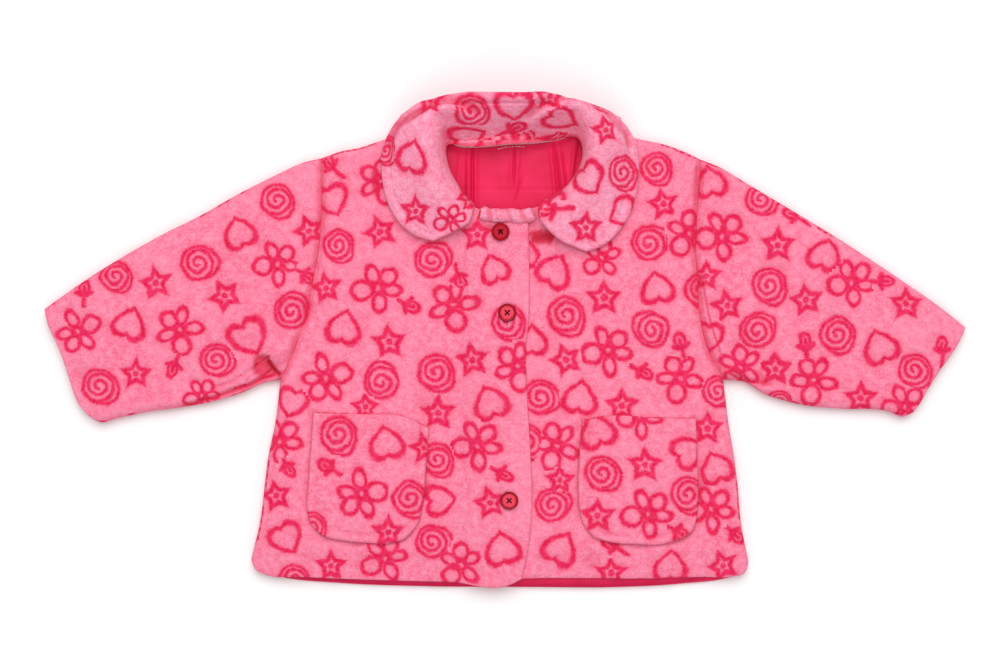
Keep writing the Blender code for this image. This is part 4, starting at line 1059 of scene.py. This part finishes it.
def band(materials):
    """The gathered strip at the front of the neck: a soft roll with uneven puckers."""
    path = smooth_curve(BAND_PATH)
    share = np.linspace(0, 1, 91)
    points = at_shares(path, share)
    way = unit(np.gradient(points, axis=0))
    sideways = np.stack((-way[:, 1], way[:, 0]), axis=1)
    angles = np.radians(np.linspace(0, 180, 20))
    base = BODY_HEIGHT + LAP_RISE + GAP
    slant = 2 * math.pi * (share[:, None] + 0.035 * np.cos(angles)[None, :])
    pucker = 1 + 0.24 * np.sin(3.5 * slant) + 0.09 * np.sin(8.3 * slant + 1)
    ends = np.sqrt(np.clip(1 - (2 * share - 1) ** 12, 0.02, 1))[:, None]
    half = 5.2 * (0.84 + 0.16 * pucker) * (0.7 + 0.3 * ends)
    plan = points[:, None] + sideways[:, None] * (half * np.cos(angles))[..., None]
    outer = np.dstack((plan, base + 5.0 * pucker * ends * np.sin(angles)))
    inner = outer.copy()
    inner[..., 2] = base - 0.05
    # Painted shade in the dips between the puckers
    return wall("band_shell", outer, inner, materials, np.clip((0.98 - pucker) * 2.2, 0.0, 0.6))


def pocket(name, outline, height, materials):
    """A patch pocket: sunk along its seam, a little full in the middle, with a hemmed mouth."""
    keys = ("top", "bottom", "side_a", "side_b")
    top, bottom, side_a, side_b = (smooth_curve(outline[key]) for key in keys)

    def places(line, cells):
        size = length_of(line)
        inside = list(np.linspace(FREE[-1], size - FREE[-1], cells + 1)[1:])
        return np.array(FREE + inside + from_end(size, FREE[:-1]))

    wide, high = 52, 58
    columns = places(top, wide) / length_of(top)
    rows = places(side_a, high) / length_of(side_a)
    plan = patch(along(top, places(top, wide)), along(bottom, places(bottom, wide)),
                 along(side_a, places(side_a, high)), along(side_b, places(side_b, high)), columns, rows)
    x, y = plan[..., 0], plan[..., 1]
    from_seam = distance_to(x, y, seam_of(outline))
    from_mouth = distance_to(x, y, top)
    base = height(x, y) + GAP
    rise = POCKET_CLOTH + 1.2 * np.outer(np.sin(np.pi * rows), np.sin(np.pi * columns))
    rise += groove(from_seam, POCKET_STITCHES) + 0.5 * np.exp(-((from_seam - 2.5) / 2.0) ** 2)
    rise += groove(from_mouth, MOUTH_STITCHES) + 0.7 * waves(x, y, 44.0, 7.0)
    rise -= 1.1 * free_drop(np.minimum(from_seam, from_mouth))
    outer = np.dstack((plan, base + np.maximum(rise, 0.35)))
    inner = np.dstack((plan, base))
    # Painted shade where the pocket sinks towards its seam and stitching
    return wall(name, outer, inner, materials, np.clip((POCKET_CLOTH - rise) / 3.0, 0.0, 0.6))


class Field:
    """A value in a node tree that can be written as a formula."""

    tree = None

    def __init__(self, source):
        self.source = source

    @classmethod
    def calc(cls, operation, *values, clamp=False):
        node = cls.tree.nodes.new("ShaderNodeMath")
        node.operation = operation
        node.use_clamp = clamp
        for socket, value in zip(node.inputs, values):
            if isinstance(value, Field):
                cls.tree.links.new(value.source, socket)
            else:
                socket.default_value = value
        return Field(node.outputs[0])

    def __add__(self, other):
        return Field.calc("ADD", self, other)

    def __sub__(self, other):
        return Field.calc("SUBTRACT", self, other)

    def __mul__(self, other):
        return Field.calc("MULTIPLY", self, other)

    def __truediv__(self, other):
        return Field.calc("DIVIDE", self, other)


def absolute(a):
    return Field.calc("ABSOLUTE", a)


def root(a):
    return Field.calc("SQRT", a)


def lowest(*values):
    result = values[0]
    for value in values[1:]:
        result = Field.calc("MINIMUM", result, value)
    return result


def highest(a, b):
    return Field.calc("MAXIMUM", a, b)


def length2(u, v):
    return root(u * u + v * v)


def ellipse_line(u, v, centre_u, centre_v, reach_a, reach_b, turn):
    """Distance to the outline of an ellipse whose first half axis points along turn, in degrees."""
    a, b = turned(u - centre_u, v - centre_v, turn)
    return absolute(length2(a / reach_a, b / reach_b) - 1.0) * (0.5 * (reach_a + reach_b))


def stroke(u, v, start, end):
    """Distance to a straight stroke between two points."""
    du = end[0] - start[0]
    dv = end[1] - start[1]
    size = du * du + dv * dv
    p = u - start[0]
    q = v - start[1]
    share = Field.calc("ADD", (p * du + q * dv) / size, 0.0, clamp=True)
    return length2(p - share * du, q - share * dv)


def heart_line(u, v):
    """Distance to a rounded heart: a circle whose height is lowered by the root of its width."""
    x = absolute(u) / 13.2
    q = v * 0.088 + 0.297 - root(x + 0.05) * 0.72
    return absolute(length2(x, q) - 0.92) * 10.5


def star_line(radius, angle):
    """Distance to a five-pointed star with a dot in its middle."""
    tip, notch, dot = 11.0, 5.8, 1.3
    fifth = 2 * math.pi / 5
    sector = angle / fifth
    fold = absolute(sector - Field.calc("ROUND", sector)) * fifth
    p = radius * Field.calc("COSINE", fold)
    q = radius * Field.calc("SINE", fold)
    du = notch * math.cos(fifth / 2) - tip
    dv = notch * math.sin(fifth / 2)
    size = math.hypot(du, dv)
    line = absolute((p - tip) * (-dv / size) + q * (du / size))
    return lowest(line - 0.2, absolute(radius - dot) + 0.4)


def spiral_line(radius, angle):
    """Two turns that run into a closed loop with one blunt corner."""
    pitch, rim, corner = 5.2, 12.2, 3.4
    offset = angle * (pitch / (2 * math.pi)) + pitch * 0.2
    outline = Field.calc("COSINE", angle + 0.5)
    outline = Field.calc("POWER", highest(outline, 0.0), 3.0) * corner + rim
    last = lowest(offset + 2 * pitch, outline)
    return lowest(absolute(radius - offset), absolute(radius - offset - pitch), absolute(radius - last),
                  absolute(radius - outline)) + 0.35


def flower_line(u, v):
    """Distance to a flower of five looped petals of uneven size round a small ring."""
    lines = [ellipse_line(u, v, 0.0, 0.0, 2.9, 3.9, 0)]
    for turn, far, reach_a, reach_b in PETALS:
        centre_u = far * math.cos(math.radians(turn))
        centre_v = far * math.sin(math.radians(turn))
        lines.append(ellipse_line(u, v, centre_u, centre_v, reach_a, reach_b, turn))
    return lowest(*lines)


def bud_line(u, v):
    """Distance to a bud on a stem with two leaves."""
    return lowest(ellipse_line(u, v, 0.0, 4.2, 5.6, 3.9, 90), stroke(u, v, (0, 5.0), (0, -14.0)),
                  stroke(u, v, (0, -3.0), (-6.2, 0.5)), stroke(u, v, (0, -3.0), (6.2, 0.5)),
                  stroke(u, v, (-6.2, 0.5), (-1.5, 0.0)), stroke(u, v, (6.2, 0.5), (1.5, 0.0)))


def noise_node(tree, scale, detail, roughness=0.5):
    """Noise in the object's own coordinates, which come from one node for each tree."""
    coords = tree.nodes.get("coords")
    if coords is None:
        coords = tree.nodes.new("ShaderNodeTexCoord")
        coords.name = "coords"
    node = tree.nodes.new("ShaderNodeTexNoise")
    node.inputs["Scale"].default_value = scale
    node.inputs["Detail"].default_value = detail
    node.inputs["Roughness"].default_value = roughness
    tree.links.new(coords.outputs["Object"], node.inputs["Vector"])
    return node


def map_range(tree, socket, low, high, at_low=0.0, at_high=1.0, curve="LINEAR"):
    """A value from low to high, read as one from at_low to at_high."""
    node = tree.nodes.new("ShaderNodeMapRange")
    node.interpolation_type = curve
    for name, value in (("From Min", low), ("From Max", high), ("To Min", at_low), ("To Max", at_high)):
        node.inputs[name].default_value = value
    tree.links.new(socket, node.inputs["Value"])
    return node.outputs["Result"]


def split_parts(socket, splitter):
    """The parts of a colour or a vector, as values for formulas."""
    node = Field.tree.nodes.new(splitter)
    Field.tree.links.new(socket, node.inputs[0])
    return [Field(output) for output in node.outputs]


def print_group():
    """Node group: how strongly the print colours a point, from the face's motif coordinates, and how much
    painted crease shade it takes.
    """
    group = bpy.data.node_groups.new("print_mask", "ShaderNodeTree")
    for name in ("Mask", "Halo", "PaintedShade"):
        group.interface.new_socket(name, in_out="OUTPUT", socket_type="NodeSocketFloat")
    out = group.nodes.new("NodeGroupOutput")
    Field.tree = group

    def noise(scale, detail):
        colour = noise_node(group, scale, detail).outputs["Color"]
        return [part - 0.5 for part in split_parts(colour, "ShaderNodeSeparateColor")]

    def kept(name):
        node = group.nodes.new("ShaderNodeUVMap")
        node.uv_map = name
        return split_parts(node.outputs["UV"], "ShaderNodeSeparateXYZ")[:2]

    slow_u, slow_v, _ = noise(110.0, 1.0)
    fast_u, fast_v, fast_w = noise(620.0, 2.0)
    u, v = kept("motif_place")
    u = (u - 0.5) * PLACE_SPAN + slow_u * 3.4 + fast_u * 1.6
    v = (v - 0.5) * PLACE_SPAN + slow_v * 3.4 + fast_v * 1.6
    kind, fold = kept("motif_kind")
    # The second channel of the map is the strength of the painted crease shade, passed straight out
    group.links.new(fold.source, out.inputs["PaintedShade"])
    kind = Field.calc("ROUND", kind * KIND_SPAN)
    radius = length2(u, v)
    angle = Field.calc("ARCTAN2", u, v)
    lines = {HEART: heart_line(u, v), STAR: star_line(radius, angle),
             SPIRAL: spiral_line(radius, angle + math.pi), FLOWER: flower_line(u, v), BUD: bud_line(u, v)}
    blank = group.nodes.new("ShaderNodeValue")
    blank.outputs[0].default_value = NO_PRINT
    distance = Field(blank.outputs[0])
    for number, line in lines.items():
        chosen = Field.calc("COMPARE", kind, float(number), 0.25)
        distance = distance + chosen * (line - NO_PRINT)
    distance = distance + fast_w * 1.7
    for name, near, far in (("Mask", 0.65, 3.05), ("Halo", 1.5, 6.5)):
        strength = map_range(group, distance.source, near, far, 1.0, 0.0, "SMOOTHSTEP")
        group.links.new(strength, out.inputs[name])
    return group


def new_material(name, roughness, specular):
    """A material with its tree, which formulas then write into, and its shader."""
    made = bpy.data.materials.new(name)
    made.use_nodes = True
    Field.tree = made.node_tree
    shader = made.node_tree.nodes["Principled BSDF"]
    shader.inputs["Roughness"].default_value = roughness
    shader.inputs["Specular IOR Level"].default_value = specular
    return made, made.node_tree, shader


def add_bump(tree, shader, height, strength, distance):
    """Fine relief from a value, as the shader's normal."""
    bump = tree.nodes.new("ShaderNodeBump")
    bump.inputs["Strength"].default_value = strength
    bump.inputs["Distance"].default_value = distance
    tree.links.new(height.source, bump.inputs["Height"])
    tree.links.new(bump.outputs["Normal"], shader.inputs["Normal"])


def mix_colour(tree, factor, a, b):
    """A mix of two colours; each input is a constant or a socket."""
    node = tree.nodes.new("ShaderNodeMix")
    node.data_type = "RGBA"
    for socket, value in ((node.inputs[0], factor), (node.inputs[6], a), (node.inputs[7], b)):
        if isinstance(value, (tuple, float)):
            socket.default_value = value
        else:
            tree.links.new(value, socket)
    return node.outputs[2]


def fleece(name, mask_group, light, deep):
    """Short curly pile: a mottled pink with flecks, the print pressed a little into it, and painted shade
    in creases and along the painted shade lines.
    """
    made, tree, shader = new_material(name, 0.95, 0.08)
    mask = tree.nodes.new("ShaderNodeGroup")
    mask.node_tree = mask_group
    fine = Field(noise_node(tree, 640.0, 3.0, 0.65).outputs["Fac"])
    medium = Field(noise_node(tree, 210.0, 3.0, 0.6).outputs["Fac"])
    broad = noise_node(tree, 28.0, 2.0).outputs["Fac"]
    flecks = map_range(tree, (fine * 0.5 + medium * 0.5).source, 0.40, 0.60)
    patches = map_range(tree, broad, 0.3, 0.75)
    printed_on, halo, fold = (Field(mask.outputs[name]) for name in ("Mask", "Halo", "PaintedShade"))

    ground = mix_colour(tree, flecks, deep, light)
    paler = mix_colour(tree, patches, ground, light)
    ground = mix_colour(tree, 0.45, ground, paler)
    ground = mix_colour(tree, (halo * 0.42).source, ground, deep)
    ink = mix_colour(tree, flecks, INK_DEEP, INK_LIGHT)
    colour = mix_colour(tree, printed_on.source, ground, ink)
    # Painted shade: from 0 to 1 the colour darkens towards the painted crease shade, and from 1 to 2 on
    # towards the painted shade of a closed crease
    crease_shade_share = lowest(fold, 1.0) * 0.75
    closed = highest(fold - 1.0, 0.0) * 0.9
    colour = mix_colour(tree, crease_shade_share.source, colour, PAINTED_CREASE_SHADE)
    colour = mix_colour(tree, closed.source, colour, PAINTED_CLOSED_CREASE_SHADE)
    tree.links.new(colour, shader.inputs["Base Color"])
    shader.inputs["Sheen Weight"].default_value = 0.12
    shader.inputs["Sheen Roughness"].default_value = 0.4
    shader.inputs["Sheen Tint"].default_value = (1.0, 0.5, 0.65, 1.0)
    height = fine * 0.4 + medium * 0.6 - printed_on * 0.06 - halo * 0.16
    add_bump(tree, shader, height, 0.8, 0.0026)
    return made


def satin():
    """Smooth woven lining with fine threads and a soft sheen."""
    made, tree, shader = new_material("lining", 0.55, 0.18)
    broad = noise_node(tree, 60.0, 3.0).outputs["Fac"]
    weave = tree.nodes.new("ShaderNodeTexWave")
    weave.inputs["Scale"].default_value = 420.0
    weave.inputs["Distortion"].default_value = 1.5
    tree.links.new(tree.nodes["coords"].outputs["Object"], weave.inputs["Vector"])
    shade = map_range(tree, broad, 0.25, 0.75)
    tree.links.new(mix_colour(tree, shade, LINING_DEEP, LINING_LIGHT), shader.inputs["Base Color"])
    add_bump(tree, shader, Field(weave.outputs["Fac"]) * 0.4 + Field(broad), 0.25, 0.0003)
    return made


def plastic(name, x, y, middle, rim):
    """Red button plastic, slightly cloudy, with a darker colour in a ring round its middle."""
    made, tree, shader = new_material(name, 0.22, 0.12)
    cloud = Field(noise_node(tree, 240.0, 2.0).outputs["Fac"])
    place = split_parts(tree.nodes["coords"].outputs["Object"], "ShaderNodeSeparateXYZ")
    from_middle = length2(place[0] - x * MM, place[1] - y * MM) + cloud * 0.0012
    outside = map_range(tree, from_middle.source, 0.0049, 0.0064)
    tree.links.new(mix_colour(tree, outside, middle, rim), shader.inputs["Base Color"])
    return made


def thread_material(name, colour):
    """Dull thread with a fine twist."""
    made, tree, shader = new_material(name, 1.0, 0.0)
    twist = noise_node(tree, 1500.0, 2.0).outputs["Fac"]
    darker = tuple(c * 0.75 for c in colour[:3]) + (1.0,)
    tree.links.new(mix_colour(tree, twist, darker, colour), shader.inputs["Base Color"])
    return made


def values_of(items, name, width=1, kind=float):
    """A property of all of a mesh's items: a number or a row for each."""
    values = np.empty(len(items) * width, dtype=kind)
    items.foreach_get(name, values)
    return values.reshape(-1, width) if width > 1 else values


def place_print(mesh, motifs):
    """Gives each face the coordinates and the kind of its nearest motif.

    motifs are (kind, centre, normal, size, turn), with centres in metres. Coordinates are those of the
    tangent plane at the centre, stretched to the true distance from it."""
    centres = values_of(mesh.polygons, "center", 3)
    normals = values_of(mesh.polygons, "normal", 3)
    best = np.full(len(centres), FAR)
    owner = np.full(len(centres), -1)
    for k, (kind, centre, normal, size, _) in enumerate(motifs):
        far = np.linalg.norm(centres - centre, axis=1) / (REACH[kind] * size * MM)
        closer = (far < best) & (normals @ normal > 0.0)
        best[closer] = far[closer]
        owner[closer] = k
    owner[best > MOTIF_LIMIT] = -1
    points = values_of(mesh.vertices, "co", 3)
    corners = values_of(mesh.loops, "vertex_index", kind=int)
    corner_owner = np.repeat(owner, values_of(mesh.polygons, "loop_total", kind=int))
    place = np.full((len(corners), 2), 0.5)
    kinds = np.zeros((len(corners), 2))
    # The second channel keeps each corner's painted crease shade
    kinds[:, 1] = values_of(mesh.attributes["fold"].data, "value")[corners]
    for k, (kind, centre, normal, size, turn) in enumerate(motifs):
        mine = corner_owner == k
        if not mine.any():
            continue
        first = np.array((1.0, 0.0, 0.0)) - normal * normal[0]
        first /= np.linalg.norm(first)
        second = np.cross(normal, first)
        if normal[2] < 0:
            second = -second
        offset = points[corners[mine]] - centre
        a = offset @ first
        b = offset @ second
        flat = np.maximum(np.hypot(a, b), 1e-9)
        spread = np.minimum(np.linalg.norm(offset, axis=1) / flat, 1.8)
        u, v = turned(a, b, turn)
        scale = spread / (size * MM) / PLACE_SPAN
        place[mine] = np.stack((u * scale + 0.5, v * scale + 0.5), axis=1)
        kinds[mine, 0] = kind / KIND_SPAN
    mesh.uv_layers.new(name="motif_place").data.foreach_set("uv", place.ravel())
    mesh.uv_layers.new(name="motif_kind").data.foreach_set("uv", kinds.ravel())


def surface_point(points, normals, x, y, up):
    """The point of a piece at a plan place, on its upper or its lower side."""
    facing = normals[:, 2] > 0.15 if up else normals[:, 2] < -0.15
    near = np.hypot(points[:, 0] - x * MM, points[:, 1] - y * MM)
    near = np.where(facing, near, FAR)
    closest = near.min()
    if closest > 0.012:
        return None
    among = np.flatnonzero(near < closest + 0.0015)
    heights = points[among, 2]
    pick = among[np.argmax(heights) if up else np.argmin(heights)]
    return points[pick], normals[pick]


def printed(obj, name):
    """Places the charted motifs on a piece's upper side and the repeat on its lower side."""
    points = values_of(obj.data.vertices, "co", 3)
    normals = values_of(obj.data.vertex_normals, "vector", 3)
    motifs = []
    for kind, places in PRINT.get(name, {}).items():
        for across, down, size, turn in places:
            found = surface_point(points, normals, *chart_to_plan(across, down), True)
            if found is None:
                continue
            x, y = chart_to_plan(across, down, found[0][2] / MM)
            found = surface_point(points, normals, x, y, True) or found
            centre = np.array((x * MM, y * MM, found[0][2]))
            motifs.append((kind, centre, found[1], size, turn))
    wide, high = REPEAT
    low_x, low_y, _ = points.min(axis=0) / MM
    high_x, high_y, _ = points.max(axis=0) / MM
    for row in range(math.floor(low_y / high) - 1, math.ceil(high_y / high) + 1):
        for column in range(math.floor(low_x / wide) - 1, math.ceil(high_x / wide) + 2):
            for kind, dx, dy, size, turn in REPEAT_MOTIFS:
                x = column * wide + dx + (row % 2) * REPEAT_SHIFT - REPEAT_SHIFT
                found = surface_point(points, normals, x, row * high + dy, False)
                if found is not None:
                    motifs.append((kind, found[0], found[1], size, turn))
    place_print(obj.data, motifs)


def stitches(name, path, stitch, gap, radius, material):
    """Short rounded threads one after another along a path of (x, y, z) points in millimetres."""
    line = np.array(path, dtype=float)
    work = bmesh.new()
    for k in range(int(length_of(line) / (stitch + gap))):
        start = k * (stitch + gap)
        a, b = along(line, np.array([start, start + stitch]))
        way = (b - a) / np.linalg.norm(b - a)
        side = np.cross(way, (0, 0, 1.0))
        side /= np.linalg.norm(side)
        up = np.cross(side, way)
        rings = []
        for share, swell, lift in STITCH_RINGS:
            centre = a + (b - a) * share + up * lift
            ring = []
            for m in range(STITCH_SIDES):
                turn = 2 * math.pi * m / STITCH_SIDES
                p = centre + radius * swell * (math.cos(turn) * side + math.sin(turn) * up)
                ring.append(work.verts.new(tuple(p * MM)))
            rings.append(ring)
        for lower, upper in zip(rings, rings[1:]):
            for m in range(STITCH_SIDES):
                after = (m + 1) % STITCH_SIDES
                work.faces.new((lower[m], lower[after], upper[after], upper[m]))
        work.faces.new(list(reversed(rings[0])))
        work.faces.new(rings[-1])
    bmesh.ops.recalc_face_normals(work, faces=work.faces)
    mesh = bpy.data.meshes.new(name)
    work.to_mesh(mesh)
    work.free()
    mesh.materials.append(material)
    mesh.shade_smooth()
    return linked(name, mesh)


def area_light(name, location, power):
    """A square area light turned to the middle of the jacket."""
    light = bpy.data.lights.new(name, "AREA")
    light.shape = "SQUARE"
    light.size = LIGHT_SIZE
    light.energy = power
    obj = linked(name, light)
    obj.location = location
    obj.rotation_euler = (-Vector(location)).to_track_quat("-Z", "Y").to_euler()


def studio():
    """A plain white table, soft light from beyond the collar and an even fill."""
    reach, low = 4.0, -0.0004
    corners = [(-reach, -reach, low), (reach, -reach, low), (reach, reach, low), (-reach, reach, low)]
    mesh = bpy.data.meshes.new("table")
    mesh.from_pydata(corners, [], [(0, 1, 2, 3)])
    made, _, shader = new_material("table", 0.9, 0.1)
    shader.inputs["Base Color"].default_value = (0.95, 0.95, 0.95, 1.0)
    mesh.materials.append(made)
    linked("table", mesh)
    world = bpy.data.worlds.new("studio")
    world.use_nodes = True
    background = world.node_tree.nodes["Background"]
    background.inputs["Color"].default_value = (1.0, 1.0, 1.0, 1.0)
    background.inputs["Strength"].default_value = WORLD_STRENGTH
    bpy.context.scene.world = world
    area_light("key", KEY_PLACE, KEY_POWER)
    area_light("fill", FILL_PLACE, FILL_POWER)


def camera():
    """Straight above the jacket, framed as the photograph."""
    photo_width, photo_height = 1008, 672
    distance = (CAMERA_HEIGHT - CHART_PLANE) * MM
    lens = bpy.data.cameras.new("camera")
    lens.sensor_width = 36.0
    lens.lens = lens.sensor_width * distance / (photo_width * CHART_STEP * MM)
    lens.clip_end = 20.0
    obj = linked("camera", lens)
    x, y = chart_to_plan(photo_width / 2, photo_height / 2)
    obj.location = (x * MM, y * MM, CAMERA_HEIGHT * MM)
    bpy.context.scene.camera = obj


def shells():
    """The cloth shells, by the node that each one takes the place of."""
    mask = print_group()
    pile = fleece("fleece", mask, FLEECE_LIGHT, FLEECE_DEEP)
    # The collar and the neck band take a copy of the fleece painted paler, as painted light
    collar_pile_painted_light = fleece("collar_fleece_painted_light", mask, COLLAR_PAINTED_LIGHT_PALE, COLLAR_PAINTED_LIGHT_DEEP)
    cloth = satin()
    lined = [pile, cloth]
    double = [pile, pile]
    return {
        "front_right": front("front_right_shell", ARMHOLE_RIGHT, SIDE_RIGHT, SHOULDER_RIGHT,
                             NECKLINE_RIGHT, PLACKET, HEM_RIGHT, lap_top, lined),
        "front_left": front("front_left_shell", ARMHOLE_LEFT, SIDE_LEFT, SHOULDER_LEFT, NECKLINE_LEFT,
                            LAP_EDGE, HEM_LEFT[::-1], body_top, lined),
        "sleeve_right": sleeve("sleeve_right_shell", ARMHOLE_RIGHT, SLEEVE_TOP_RIGHT,
                               SLEEVE_BOTTOM_RIGHT, CUFF_RIGHT, lined),
        "sleeve_left": sleeve("sleeve_left_shell", ARMHOLE_LEFT, SLEEVE_TOP_LEFT, SLEEVE_BOTTOM_LEFT,
                              CUFF_LEFT, lined),
        "back_panel": back(lined),
        "back_lining": lining([cloth, cloth]),
        "collar": collar([collar_pile_painted_light, collar_pile_painted_light]),
        "neck_band": band([collar_pile_painted_light, collar_pile_painted_light]),
        "pocket_right": pocket("pocket_right_shell", POCKET_RIGHT, body_top, double),
        "pocket_left": pocket("pocket_left_shell", POCKET_LEFT, body_top, double),
    }


def main():
    bpy.context.scene.view_settings.view_transform = "Standard"
    camera()
    studio()
    for node, obj in shells().items():
        slot, flat, held, rests_on, area = SHEETS[node]
        if slot == "fleece":
            printed(obj, node)
        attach(obj, "root")
        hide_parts(node)

    threads = [
        stitches("label_remnant", [(-5, 142.6, 8.6), (2, 144.2, 9.0), (10, 144.6, 9.0), (18, 144.0, 8.6)],
                 1.9, 0.7, 0.32, thread_material("label_thread", LABEL_THREAD)),
        stitches("lining_stitches", [(-24, 112.5, 4.3), (8, 112.2, 4.3), (39, 112.6, 4.3)],
                 2.4, 1.3, 0.22, thread_material("lining_thread", LINING_THREAD)),
    ]
    dark_thread = thread_material("button_thread", BUTTON_THREAD)
    reach = BUTTON_HOLE_SPACING / 2 + 0.35
    for name, (x, y, lean) in BUTTONS.items():
        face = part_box(name)[1][2] / MM - 0.55
        for k, dy in enumerate((reach, -reach)):
            path = [(x - reach, y - dy, face), (x, y, face + 0.1), (x + reach, y + dy, face)]
            threads.append(stitches(f"{name}_thread_{k}", path, 2 * math.hypot(reach, dy) * 0.98, 0.0, 0.42,
                                    dark_thread))
        materials = bpy.data.objects[name].data.materials
        materials.clear()
        # The leaning top button takes the colours darkened as painted shade from the collar
        materials.append(plastic(name, x, y, *(BUTTON_PAINTED_SHADE if lean else BUTTON_BRIGHT)))
    for obj in threads:
        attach(obj, "root")


main()
